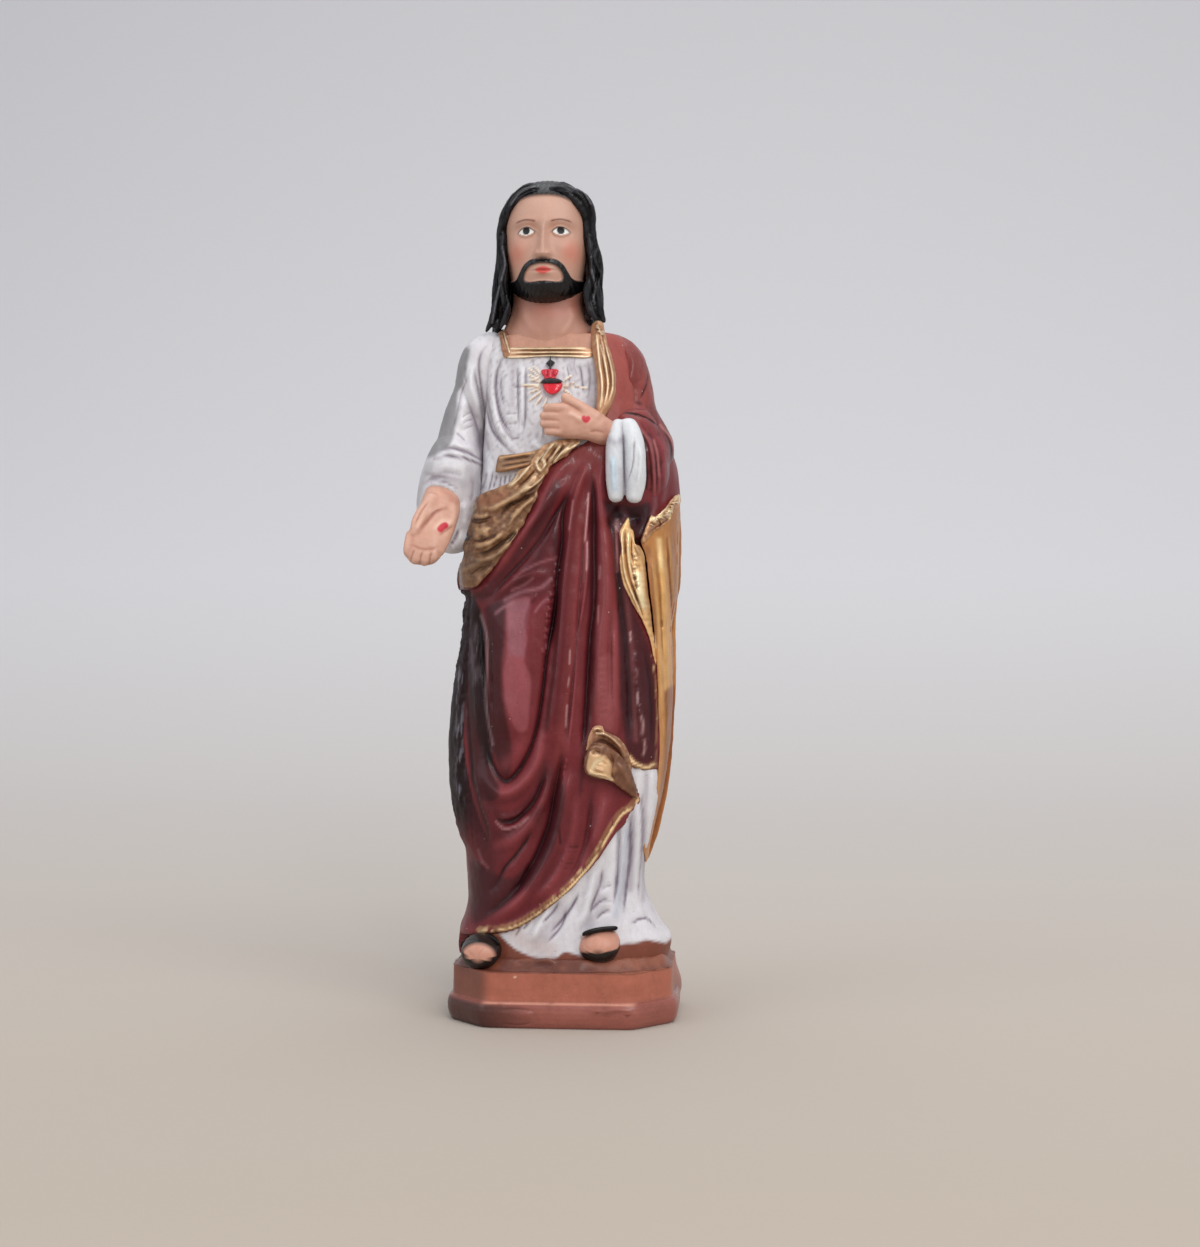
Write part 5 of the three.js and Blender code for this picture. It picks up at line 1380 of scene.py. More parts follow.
turnedCornerRear = {"left": [(586, 748), (588, 738), (591, 730), (595, 726), (602, 726), (605, 731),
        (613, 735), (619, 738), (625, 745), (629, 755), (632, 768)],
    "right": [(586, 752), (592, 748), (596, 747), (601, 747), (606, 748), (610, 750), (615, 753),
        (619, 757), (624, 762), (628, 768), (631, 775)],
    "thick": 1.2, "mesh": {"sides": 90, "rows": 110, "standOff": 0.9}, "unevenness": 0.08, "seed": 48,
    "paint": {"base": colour(150, 104, 78)},
    "lines": [
        ("crease", 1.4, 0.8, (591, 744), (602, 741), (614, 748), (625, 762)),
        ("fold", 0.8, 0.4, (592, 731), (597, 728.5), (603, 730)),
        ("fold", 0.7, 0.35, (594, 733), (604, 734), (614, 740), (623, 750)),
        ("crease", 0.5, 0.25, (594, 730.5), (599, 731.5), (604, 732))],
    # painted highlight on the rear fold's ridges and painted shade in its crease
    "tones": [
        (colour(226, 178, 138), 0.85, 0.5, (594, 729), (598, 727.5), (603, 730)),
        (colour(190, 138, 106), 0.6, 0.35, (606, 735), (615, 740), (624, 752)),
        (colour(92, 56, 42), 0.8, 0.7, (592, 745), (602, 742), (613, 748), (624, 760)),
        (colour(184, 134, 98), 0.6, 0.4, (587.5, 748), (589, 738), (592, 731))]}
makeTrim("turnedCornerRear", turnedCornerRear)

turnedCorner = {"left": [(583, 765), (585, 757), (588, 750), (591, 746), (597, 744.5), (604, 745),
        (613, 750), (622, 757), (629, 767), (633, 776), (636, 786), (638, 797)],
    "right": [(584, 768), (586, 773), (590, 776), (594, 777.5), (599, 778.5), (604, 779), (610, 781),
        (615, 784), (621, 788.5), (627, 793), (632, 796.5), (637, 800)],
    "thick": 1.5, "mesh": {"sides": 100, "rows": 130, "standOff": 1.8, "sink": 3.2, "flat": 0.45},
    "unevenness": 0.1, "seed": 49,
    "paint": {"base": colour(100, 64, 46), "lit": colour(178, 126, 92), "metal": 0.15},
    "lines": [
        ("crease", 0.9, 0.45, (610, 752), (613, 762), (611, 772), (614, 782)),
        ("fold", 0.6, 0.8, (618, 760), (626, 775), (633, 790)),
        ("crease", 0.8, 0.35, (592, 755), (595, 752), (601, 754)),
        ("crease", 0.8, 0.35, (604, 758), (610, 760), (613, 765)),
        ("fold", 0.5, 0.3, (587, 770), (595, 774), (605, 776), (613, 780)),
        ("crease", 0.4, 0.3, (596, 764), (602, 762), (608, 766)),
        ("fold", 0.5, 0.4, (594, 768), (600, 770), (606, 772))],
    # painted highlight on the flap's front and painted shade under it
    "patches": [
        (colour(214, 174, 132), 0.85, 0.3, (590, 752), (594, 750), (600, 754), (606, 756), (611, 762),
         (612, 770), (611, 776), (614, 781), (606, 779), (597, 777), (588, 772), (587, 764)),
        (colour(104, 68, 50), 0.75, 0.6, (614, 756), (622, 760), (630, 774), (635, 788), (630, 788),
         (620, 776))],
    # painted highlight on the flap's folds and painted shade in its creases
    "tones": [
        (shineGold, 0.5, 0.5, (592, 768), (596, 762), (601, 760)),
        (shineGold, 0.5, 0.3, (590, 773), (600, 776), (611, 780)),
        (colour(110, 70, 50), 0.6, 0.4, (594, 753), (598, 752), (602, 755)),
        (colour(120, 78, 56), 0.6, 0.5, (605, 752), (611, 758), (615, 765)),
        (colour(120, 78, 56), 0.5, 0.5, (617, 781), (626, 788), (634, 796))]}
makeTrim("turnedCorner", turnedCorner)
print("trims ready")

# Each part is (left edge, right edge, thickness in mm, shade)
heartParts = {
    "heart": ([(550, 394.5), (545.5, 391), (543, 386.5), (542, 382)],
        [(553, 394.5), (558.5, 392), (562, 387), (563, 382)], 1.6, colour(214, 22, 42)),
    "heartFlame": ([(544.5, 380), (544, 376.5), (542, 374), (540.5, 368.8)],
        [(557, 380), (556.5, 376.5), (557.5, 374), (559.5, 368.8)], 1.1, colour(196, 28, 50)),
    "heartRing": ([(540, 382.5), (543, 379.5), (547, 378), (552, 377.8), (557, 378.2), (561, 379.5),
        (563, 381)], [(540.5, 383), (543, 383.6), (548, 384), (552, 384.2), (557, 383.8), (560.5, 383),
        (563, 381.5)], 2.0, blackPaint),
    "crossPost": ([(549.6, 370), (549.2, 362), (549.8, 355)],
        [(551.2, 370), (551.6, 362), (550.6, 355)], 1.1, blackPaint),
    "crossArm": ([(545.6, 362.8), (550, 359.4), (555, 362.2)],
        [(545.6, 363.6), (550.4, 367), (555, 363)], 1.0, blackPaint)}


def makeHeart():
    for name, (left, right, thick, shade) in heartParts.items():
        piece = stripPiece(name, left, right, thick, 44, 44, standOff=-0.8)
        lines = []
        if name == "heartFlame":
            lines = [
                ("crease", 0.5, 0.2, (547, 369), (547.5, 373), (546, 378)),
                ("crease", 0.5, 0.2, (553.5, 369), (553, 373), (555, 378)),
                ("fold", 0.4, 0.25, (550, 371), (550.5, 375), (550, 379))]
        carved = carve(piece, lines, [], 0.06, 51)
        lit = mix(shade, [1, 0.75, 0.75], 0.2)
        paint(piece, washedAndShaded(piece, carved, shade, lit, shade * 0.45), rough=0.22)
        finishPiece(piece, finishes["skin"])


makeHeart()
print("heart ready")


rightSleeve = {"cloth": white, "lit": colour(222, 220, 224), "washAndShade": whiteWashAndShade, "washAndShadeShare": 0.5,
    "rough": 0.42}
hands = {"skin": fleshTone, "lit": colour(224, 184, 164), "washAndShade": fleshDeep, "mark": colour(188, 26, 50),
    "cell": 0.27, "unevenness": 0.05, "rough": 0.42}


def makeRightArm():
    sleeve = limbPiece("rightSleeve", [(-12.0, 1, 160.2, 3.6, 4.6), (-18.6, 1.4, 157.4, 5.8, 6.8),
        (-21.2, 2.0, 149, 5.6, 7.2), (-24.0, 2.6, 143, 5.3, 7.1), (-25.2, 1.0, 135, 6.1, 7.6),
        (-26.5, -3.2, 128.6, 7.2, 8.0), (-27.2, -4.0, 121.6, 7.7, 6.4), (-26.6, -4.2, 117.8, 7.0, 5.8),
        (-25.2, -4.4, 113.4, 4.9, 4.6)][::-1], 150, 150)
    lines = [
        ("crease", 1.0, 0.7, (490, 342), (482, 352), (479, 364), (480, 380), (483, 400), (487, 425)),
        ("crease", 0.8, 0.5, (474, 362), (475, 375), (478, 390), (481, 408), (485, 430)),
        ("fold", 0.9, 0.8, (473, 362), (470.5, 383), (474, 396), (480, 412), (483, 432)),
        ("crease", 0.7, 0.5, (460, 380), (467, 400), (473, 416), (478, 430), (480, 441), (480.5, 456)),
        ("crease", 0.5, 0.3, (466.5, 364), (464.7, 376), (468, 386)),
        ("fold", 1.0, 1.2, (463, 395), (462, 415), (463, 432)),
        ("crease", 0.5, 0.25, (461, 419), (466, 415), (472, 412)),
        ("crease", 0.5, 0.25, (462, 425), (467, 421), (474, 419)),
        ("crease", 0.4, 0.25, (463, 430), (469, 427), (475, 425)),
        ("crease", 0.6, 0.35, (455, 432), (461, 437), (467, 442)),
        ("crease", 0.8, 0.4, (470, 372), (461, 395), (456, 419), (451, 430), (448, 440)),
        ("crease", 1.0, 0.4, (436, 451), (440, 450), (445, 448.7), (456, 449.3), (466.7, 452.7),
         (474.7, 456.7), (485, 462)),
        ("fold", 0.9, 0.45, (436, 454), (446, 452.6), (456, 452.9), (467, 456), (476, 460), (486, 465.5)),
        ("crease", 0.9, 0.4, (434, 459), (441, 456.7), (453, 456), (466.7, 458.7), (477, 463),
         (486.7, 468.7)),
        ("fold", 0.6, 0.7, (440, 445), (452, 443.5), (466, 447), (478, 451)),
        ("crease", 0.6, 0.3, (425, 472.7), (429, 475), (440, 476.7), (453, 480)),
        ("crease", 0.6, 0.3, (438.7, 471), (450.7, 472), (460, 474), (464, 476.7)),
        ("crease", 0.8, 0.35, (424, 483), (430.7, 479), (440, 480.7), (449, 484.7), (456, 488.7)),
        ("fold", 0.7, 0.5, (424, 487), (433, 483.5), (446, 485.5), (458, 493)),
        ("fold", 0.9, 1.2, (462, 500), (466, 512), (463, 530)),
        ("crease", 0.8, 0.7, (470, 475), (473, 488), (470, 505)),
        ("crease", 0.8, 0.4, (459, 527), (455, 538), (448, 549)),
        ("fold", 0.5, 0.4, (462, 531), (457, 543), (449, 553))]
    carved = carve(sleeve, lines, [
        ("crease", 0.8, 0.8, (-19, 150), (-23, 138), (-26, 128)),
        ("fold", 0.9, 1.2, (-23, 150), (-27, 136), (-30, 126))], 0.06, 61)
    shade = washedAndShaded(sleeve, carved, rightSleeve["cloth"], rightSleeve["lit"], rightSleeve["washAndShade"],
        washAndShadeShare=rightSleeve["washAndShadeShare"])
    # Flat painted shade on the sleeve's left side, below its elbow fold and at the left edge of its lower
    # part
    shade = patched(sleeve, shade, [
        (colour(122, 120, 122), 0.9, 0.5, (464, 345), (452, 358), (445, 385), (436, 405), (430, 438),
         (424, 457), (438, 455), (446, 449), (452, 441), (455.7, 426), (457, 410), (457.6, 393),
         (463, 386), (466, 370), (470, 350)),
        (colour(172, 168, 170), 0.5, 2.0, (430, 460), (448, 458), (468, 464), (478, 475), (470, 492),
         (452, 486), (430, 480)),
        (colour(150, 148, 152), 0.5, 0.8, (413, 505), (415, 494), (421, 477), (428, 462), (432, 468),
         (426, 480), (421, 494), (419, 506))])
    # Painted shade in the sleeve's creases and painted highlight on its ridges
    tones = [
        (shadeLilac, 0.45, 1.0, (470, 408), (477, 430), (480, 446)),
        (shadeLilac, 0.5, 0.4, (480.7, 430), (480.5, 445), (481, 459)),
        (shadeLilac, 0.4, 1.6, (470, 470), (473, 490), (468, 515)),
        (highlightWhite, 0.6, 1.4, (464, 396), (463, 412), (462, 430)),
        (highlightWhite, 0.5, 0.9, (473, 364), (471, 384), (477, 402)),
        (highlightWhite, 0.6, 0.35, (438, 454), (446, 452.6), (456, 452.9), (467, 456), (476, 460),
         (486, 465.5)),
        (highlightWhite, 0.4, 2.0, (445, 464), (460, 468), (466, 490)),
        (shadeLilac, 0.3, 1.4, (440, 474), (452, 476), (464, 484)),
        (shadeLilac, 0.5, 0.3, (436, 451), (456, 449.3), (474.7, 456.7), (485, 462)),
        (shadeLilac, 0.5, 0.3, (434, 459), (453, 456), (477, 463), (486, 469)),
        (shadeLilac, 0.5, 0.35, (425, 473), (440, 476.7), (456, 480)),
        (shadeLilac, 0.5, 0.35, (424, 483), (440, 480.7), (456, 488))]
    paint(sleeve, toned(sleeve, shade, tones), rough=rightSleeve["rough"])
    finishPiece(sleeve, finishes["robe"])
    across = (0.95, 0, -0.28)
    palm = stops((443, 488, -6.5, 3.8, 3.4), (441, 503, -10, 4.6, 3.4), (437, 520, -13.6, 4.8, 3.1),
        (429, 538, -16.8, 4.9, 2.7), (423.5, 550, -18.4, 4.7, 2.3), (423, 557, -19.0, 4.0, 2.0))
    thumb = stops((433, 499, -12.2, 1.9, 2.0), (420, 518, -16.4, 1.7, 1.7), (416, 529, -18.0, 1.4, 1.4),
        (413.8, 535, -18.4, 1.1, 1.2))
    parts = [limbPiece("palm", palm, across=across), limbPiece("thumb", thumb, 20, 20, across=across)]
    for x, y in ((407.5, 552), (414.5, 560), (424, 562), (433, 558)):
        parts.append(limbPiece("finger", stops((x + 4, y - 18, -17.2, 1.25, 1.7),
            (x + 1, y - 6, -19.0, 1.2, 1.5), (x, y + 2, -19.4, 1.05, 1.2)), 20, 20, across=across))
    hand = fuse("rightHand", parts, hands["cell"], 9)
    lines = [
        ("crease", 0.8, 0.5, (446, 508), (434.7, 512.7), (426.7, 522), (420, 531)),
        ("crease", 0.5, 0.35, (429, 501), (421, 512), (413.5, 527)),
        ("crease", 0.4, 0.3, (410, 565), (412, 556), (415, 548)),
        ("crease", 0.4, 0.3, (419.5, 569), (420.5, 558), (423, 550)),
        ("crease", 0.4, 0.3, (429, 568), (430, 558), (432, 551)),
        ("crease", 0.3, 0.5, (409, 543), (421, 549), (433, 549), (440, 544)),
        ("crease", 0.4, 0.5, (438, 536), (447, 530), (455, 524)),
        ("fold", 0.5, 1.0, (450, 500), (455, 512), (451, 530))]
    carved = carve(hand, lines, [], hands["unevenness"], 62)
    shade = washedAndShaded(hand, carved, hands["skin"], hands["lit"], hands["washAndShade"], 3, 10, 0.4, 0.6)
    # Painted highlight on the palm and along the thumb, painted shade at the wrist, beside the thumb and
    # along the knuckles
    shade = toned(hand, shade, [
        (colour(228, 192, 172), 0.6, 0.7, (436, 527), (443, 521), (449, 523)),
        (colour(170, 116, 98), 0.5, 0.8, (443, 490), (450, 496), (457, 503)),
        (colour(158, 100, 84), 0.6, 0.55, (446, 508), (434.7, 513), (427, 521), (418, 532)),
        (colour(228, 186, 164), 0.5, 0.4, (430, 509), (423, 518), (418, 526)),
        (colour(176, 122, 104), 0.4, 0.6, (411, 545), (422, 549), (436, 548))])
    mark = lineMask(seen(pointsOf(hand)), [(440.5, 529), (443, 526.5), (445, 525.5)], 0.8, 0.3)
    mark = mark * (normalsOf(hand)[:, 1] < 0)
    paint(hand, mix(shade, hands["mark"], mark), rough=hands["rough"])
    finishPiece(hand, finishes["skin"])


makeRightArm()
print("right arm ready")


mantledArm = {"lower": colour(116, 46, 50), "upper": colour(132, 62, 58), "upperLit": colour(156, 82, 76),
    "cell": 0.36, "unevenness": 0.06, "rough": 0.36}
leftCuff = {"cloth": colour(204, 206, 210), "lit": colour(226, 228, 232), "washAndShade": whiteWashAndShade,
    "washAndShadeShare": 0.5, "cell": 0.27, "unevenness": 0.04, "rough": 0.3}


def makeLeftArm():
    limb = limbPiece("mantledArm", [(8.0, 1, 160.4, 3.6, 4.6), (13.6, 1.4, 156.6, 5.4, 6.8),
        (15.8, 2.0, 150, 5.6, 7.6), (17.0, 2.0, 143, 5.8, 8.0), (20.0, 0.6, 134.8, 6.8, 8.2),
        (18.4, -6.6, 132.6, 6.2, 7.2), (14.6, -12.4, 135.0, 4.2, 4.8)][::-1], 60, 60)
    cloth = limbPiece("hangingCloth", [(15.4, -3.0, 139, 7.6, 8.6), (17.4, -3.6, 132, 8.2, 8.6),
        (18.4, -3.8, 127, 7.6, 7.8), (18.8, -3.6, 123.6, 6.4, 6.8)][::-1], 60, 60)
    arm = fuse("mantledArm", [limb, cloth], mantledArm["cell"], 6)
    lines = [
        ("crease", 0.8, 0.4, (624, 345), (624, 363), (620, 380), (615, 394)),
        ("fold", 0.8, 1.2, (632, 345), (634, 362), (632, 376), (624, 388)),
        ("crease", 0.8, 0.45, (628, 385), (630, 394), (632, 402)),
        ("crease", 0.5, 0.5, (645, 356), (648, 372), (645, 388), (638, 402)),
        ("fold", 0.8, 0.8, (612, 408), (626, 405), (640, 408), (650, 414)),
        ("crease", 0.9, 0.4, (614, 413), (634, 414), (650, 420), (664, 431)),
        ("fold", 0.9, 0.5, (634, 421), (644, 433), (651, 447), (654, 475), (654.7, 503)),
        ("crease", 0.6, 0.5, (641, 424), (645, 445), (646, 475), (645, 500)),
        ("fold", 0.6, 0.4, (652, 436), (657, 455), (659, 480), (657, 503)),
        ("fold", 0.7, 0.8, (658, 430), (664.5, 452), (665.5, 490)),
        ("crease", 0.8, 0.45, (664, 430), (671, 450), (671.5, 490)),
        ("fold", 0.7, 0.35, (660, 424.7), (671.7, 440), (677, 460.6), (678, 490))]
    carved = carve(arm, lines, [
        ("crease", 0.9, 0.9, (14, 152), (16, 140), (20, 128)),
        ("fold", 1.0, 1.2, (9, 154), (10, 140), (14, 128))], mantledArm["unevenness"], 71)
    points = pointsOf(arm)
    brick = ease(136, 148, points[:, 2])[:, None]
    shade = mix(washedAndShaded(arm, carved, mantledArm["lower"], maroonLit, maroonDark, 3, 16, 0.75),
        washedAndShaded(arm, carved, mantledArm["upper"], mantledArm["upperLit"], maroonDark, 3, 16, 0.7), brick)
    # Painted shade in the arm's folds and grooves, painted sheen and highlight lines on its ridges
    tones = [
        (colour(96, 36, 36), 0.5, 1.8, (634, 356), (632, 370), (627, 384)),
        (colour(124, 96, 102), 0.75, 0.9, (669.5, 466), (670, 480), (668, 492)),
        (colour(178, 116, 110), 0.75, 0.28, (660, 424.7), (671.7, 440), (677, 460.6)),
        (colour(150, 84, 84), 0.6, 0.35, (634, 421), (644, 433), (651, 447), (654, 475), (654.7, 498)),
        (deepShadeMaroon, 0.45, 0.5, (645, 450), (646, 475), (645, 505)),
        (colour(176, 106, 104), 0.6, 0.25, (654, 440), (657.5, 455), (659, 476)),
        (shadeMaroon, 0.4, 0.7, (664, 432), (671, 450), (673, 478)),
        (shadeMaroon, 0.4, 1.2, (652, 408), (664, 418), (672, 432))]
    paint(arm, toned(arm, shade, tones), rough=mantledArm["rough"])
    finishPiece(arm, finishes["mantle"])
    inner = stops((618.5, 426, -13.4, 1.7, 2.4), (616, 442, -14.8, 2.25, 2.9),
        (615.3, 462, -15.3, 2.3, 2.9), (615.3, 482, -15.3, 2.15, 2.6), (616, 496.5, -15.1, 1.8, 2.1))
    outer = stops((627, 426, -13.4, 2.4, 2.4), (632.5, 442, -14.8, 2.7, 2.9), (635, 462, -15.2, 2.6, 2.8),
        (635.6, 482, -15.2, 2.4, 2.5), (634, 497, -15.1, 1.9, 2.0))
    lobes = [limbPiece("lobe", rows[::-1], cap=0.07, capLength=0.75) for rows in (inner, outer)]
    cuff = fuse("leftCuff", lobes, leftCuff["cell"], 4)
    lines = [
        ("crease", 0.9, 0.3, (622, 424), (623.5, 445), (624, 470), (625, 497)),
        ("crease", 0.4, 0.25, (634.8, 432), (633, 464), (628, 480), (626, 486)),
        ("fold", 0.4, 0.5, (640, 440), (641, 465), (637, 492)),
        ("fold", 0.4, 0.5, (612, 455), (613, 475), (614, 494))]
    carved = carve(cuff, lines, [], leftCuff["unevenness"], 72)
    shade = washedAndShaded(cuff, carved, leftCuff["cloth"], leftCuff["lit"], leftCuff["washAndShade"],
        washAndShadeShare=leftCuff["washAndShadeShare"])
    # Painted bluish reflection on the inner lobe, painted shade at its top and along the cleft
    tones = [
        (colour(182, 206, 222), 0.75, 0.7, (613.5, 459), (614, 472), (615, 489)),
        (colour(150, 146, 156), 0.6, 0.9, (610, 440), (616, 443), (622, 440)),
        (shadeLilac, 0.3, 1.0, (621, 470), (622, 485), (623, 497))]
    paint(cuff, toned(cuff, shade, tones), rough=leftCuff["rough"])
    finishPiece(cuff, finishes["robe"])
    across = (0.05, 0.1, 1)
    palm = stops((612, 434, -11.8, 2.9, 2.8), (602, 430.5, -13.6, 3.3, 3.1), (588, 424, -15.0, 3.9, 3.0),
        (572, 420.5, -15.8, 4.35, 2.6), (556, 420, -15.8, 4.0, 2.1))
    thumb = stops((596, 419, -15.4, 1.9, 2.0), (580, 408, -16.2, 1.6, 1.7), (569, 400.5, -16.2, 1.35, 1.4),
        (563.5, 396, -15.8, 1.1, 1.2))
    parts = [limbPiece("palm", palm, across=across), limbPiece("thumb", thumb, 20, 20, across=across)]
    for y, tip in ((407.5, 545), (415.2, 541.5), (423.4, 541.5), (431.2, 546)):
        parts.append(limbPiece("finger", stops((568, y, -16.4, 1.15, 1.35), (554, y, -16.9, 1.1, 1.2),
            (tip, y + 0.5, -16.2, 0.95, 1.0)), 20, 20, across=across))
    hand = fuse("leftHand", parts, hands["cell"], 8)
    lines = [
        ("crease", 0.3, 0.3, (540, 411.5), (552, 411.5), (562, 412.5)),
        ("crease", 0.3, 0.3, (540, 419.5), (552, 420), (562, 420.5)),
        ("crease", 0.3, 0.3, (542, 427.5), (553, 428), (562, 428.5)),
        ("crease", 0.5, 0.4, (556, 401.5), (564, 402.5), (574, 407), (584, 414)),
        ("crease", 0.4, 0.6, (588, 432), (598, 431), (606, 434)),
        ("fold", 0.4, 0.7, (566, 412), (576, 416), (584, 422))]
    carved = carve(hand, lines, [], hands["unevenness"], 73)
    shade = washedAndShaded(hand, carved, hands["skin"], hands["lit"], hands["washAndShade"], 3, 10, 0.4, 0.6)
    # Painted shade at the wrist and along the hand's lower edge
    shade = toned(hand, shade, [
        (colour(166, 108, 92), 0.55, 0.9, (606, 426), (606, 436), (604, 444)),
        (colour(172, 118, 100), 0.4, 0.7, (560, 437), (577, 439), (592, 441))])
    mark = lineMask(seen(pointsOf(hand)), [(584, 418), (586, 420.5), (588, 418.5)], 0.6, 0.3)
    mark = mark * (normalsOf(hand)[:, 1] < 0)
    paint(hand, mix(shade, hands["mark"], mark), rough=hands["rough"])
    finishPiece(hand, finishes["skin"])


makeLeftArm()
print("left arm ready")


def octagonReach(turn, margin):
    w, d = statueSizes["plinthWidth"] / 2 + margin, statueSizes["plinthDepth"] / 2 + margin
    corner = statueSizes["plinthCorner"] + margin * (2 - math.sqrt(2))
    c, s = np.abs(np.cos(turn)), np.abs(np.sin(turn))
    slant = (w + d - corner) / math.sqrt(2)
    sharp = 48
    sides = np.stack([c / w, s / d, (c + s) / math.sqrt(2) / slant])
    return 1 / (sides.max(0) * ((sides / sides.max(0)) ** sharp).sum(0) ** (1 / sharp))


# Each row is (share of the rows, scale, how far it stands out, height)
plinthProfile = [(0, 0, -3, 0), (0.02, 0.95, 0, 0), (0.04, 1, 0.3, 0), (0.08, 1, 0.75, 0.5),
    (0.13, 1, 1.15, 1.4), (0.19, 1, 1.4, 2.6), (0.25, 1, 1.45, 3.8), (0.30, 1, 1.25, 4.9),
    (0.33, 1, 1.0, 5.5), (0.35, 1, 0.85, 5.75), (0.37, 1, 0.3, 5.9), (0.39, 1, 0.12, 6.1),
    (0.44, 1, 0.0, 7.2), (0.56, 1, 0.0, 10.0), (0.64, 1, 0.0, 12.2), (0.67, 1, -0.12, 12.6),
    (0.70, 1, -0.5, 12.8), (0.78, 0.88, 0, 12.8), (0.9, 0.6, 0, 12.8), (1, 0, 0, 12.8)]
plinthPaint = {"upper": colour(164, 94, 74), "lower": colour(140, 80, 70), "ground": colour(88, 44, 32),
    "groundLit": colour(126, 72, 52), "shade": colour(46, 20, 17), "washAndShade": colour(84, 42, 36),
    "edge": colour(208, 146, 124), "lump": colour(132, 96, 88), "chip": colour(236, 200, 170),
    "fillet": 2.6}


def makePlinth():
    height, tier = statueSizes["plinthHeight"], statueSizes["mouldHeight"]
    table = np.array(plinthProfile)

    def place(upward, turn):
        scale, margin, z = [np.interp(upward, table[:, 0], table[:, k]) for k in (1, 2, 3)]
        low = ease(0.3, 2.5, z)
        after, before = (turn / degrees + 342) % 360, (18 - turn / degrees) % 360
        lump = 1.75 * bell(after / 13) + 1.75 * bell(before / 13)
        lump = np.clip(lump, 0, 1.75) * bell((z - 5) / 4.2) * low * (scale > 0.99)
        margin = np.where(scale > 0.99, np.maximum(margin, lump), margin)
        reach = octagonReach(turn, 0) + margin
        x, y = reach * scale * np.cos(turn), reach * scale * np.sin(turn)
        inside = ease(1.0, 0.9, scale)
        rise = 1 - ((x - 12.75) / 26) ** 2 - ((y - 5.2) / 22) ** 2
        rock = np.clip(-6.4 + 12.4 * np.sqrt(np.clip(rise, 0, 1)), 0, None)
        away = np.hypot(x + 0.75, y) - bodyRadius(np.arctan2(y, x + 0.75), np.full(len(x), 14.0))
        fillet = plinthPaint["fillet"] * ease(3.0, 0.0, away) * inside
        z = z + np.where(z > height - 0.2, np.maximum(rock * inside, fillet), 0)
        return np.stack([x - 0.25, y, np.clip(z, 0, None)], 1)
    plinth = rolledPiece("plinth", 260, 110, place)
    points = pointsOf(plinth)
    normals = normalsOf(plinth)
    top = ease(height - 0.4, height + 0.1, points[:, 2])
    rough = 0.07 * wobble(points, 9, 81) + 0.03 * wobble(points, 2.5, 82)
    rough = (rough + top * 0.1 * wobble(points, 3.5, 83)) * ease(0, 0.8, points[:, 2])
    setPoints(plinth, points + normals * rough[:, None])
    drips = [
        ("fold", 0.35, 1.3, (498, 1012), (517, 1015), (536, 1014)),
        ("crease", 0.3, 0.3, (497, 1010), (517, 1009), (537, 1011)),
        ("crease", 0.3, 0.3, (499, 1022), (517, 1025), (535, 1022)),
        ("crease", 0.5, 0.35, (598, 1012), (598.5, 1013), (599, 1014)),
        ("crease", 0.5, 0.35, (627, 1015), (628, 1016), (629, 1016.5)),
        ("fold", 0.3, 0.5, (585, 1010), (602, 1012), (618, 1010), (636, 1013)),
        ("crease", 0.5, 0.5, (510, 960), (530, 964), (556, 966)),
        ("fold", 0.6, 0.8, (535, 962), (545, 958), (556, 962)),
        ("fold", 0.7, 0.7, (625, 945), (640, 950), (655, 948)),
        ("crease", 0.6, 0.5, (630, 955), (645, 957), (660, 953))]
    carved = carve(plinth, drips, [], 0.0, 84)
    points = pointsOf(plinth)
    points[:, 1] = np.minimum(points[:, 1], 21.3)
    setPoints(plinth, points)
    lower = ease(tier + 0.2, tier - 0.4, points[:, 2])
    shade = np.tile(plinthPaint["upper"], (len(points), 1))
    shade = mix(shade, plinthPaint["lower"], 0.9 * lower)
    shade = mix(shade, plinthPaint["ground"], 0.9 * top)
    shade = mix(shade, plinthPaint["groundLit"], 0.6 * top * ease(0.0, 0.8, wobble(points, 5, 85)))
    # Painted light: the ground is painted lighter towards the right, and the left chamfer darker as painted
    # shade
    shade = mix(shade, colour(150, 90, 68), 0.6 * top * ease(4, 14, points[:, 0]))
    chamfer = ease(-15, -19, points[:, 0]) * ease(0.4, 0.0, points[:, 1] / 20 + 0.6)
    shade = mix(shade, colour(116, 66, 52), 0.95 * chamfer * (1 - lower) * (1 - top))
    shade = mix(shade, plinthPaint["shade"],
        0.85 * ease(-4, -18, points[:, 0]) * ease(6.3, 4.8, points[:, 2]))
    side = bell((points[:, 0] - 25.5) / 4) * bell((points[:, 2] - 6) / 3.6) * (points[:, 1] > -6)
    shade = mix(shade, plinthPaint["lump"], 0.6 * side)
    shade = mix(shade, plinthPaint["washAndShade"], 0.5 * np.clip(hollow(plinth, 6), 0, 1))
    shade = mix(shade, plinthPaint["washAndShade"], np.clip(0.6 * carved[0], 0, 0.8))
    # Painted highlight along the ledge's edge, broken at random
    ledge = bell((points[:, 2] - tier + 0.4) / 0.22) * ease(-10, -18, points[:, 1])
    ledge *= ease(18.5, 16.5, np.abs(points[:, 0]))
    shade = mix(shade, plinthPaint["edge"], 0.8 * ledge * ease(-1.8, -0.6, wobble(points, 5, 86)))
    shade = mix(shade, plinthPaint["chip"], lineMask(seen(points), [(516, 976.5), (516, 977.5)], 0.25))
    paint(plinth, shade, rough=0.34 + 0.1 * (1 - lower))
    finishPiece(plinth, finishes["plinth"])


makePlinth()
print("plinth ready")


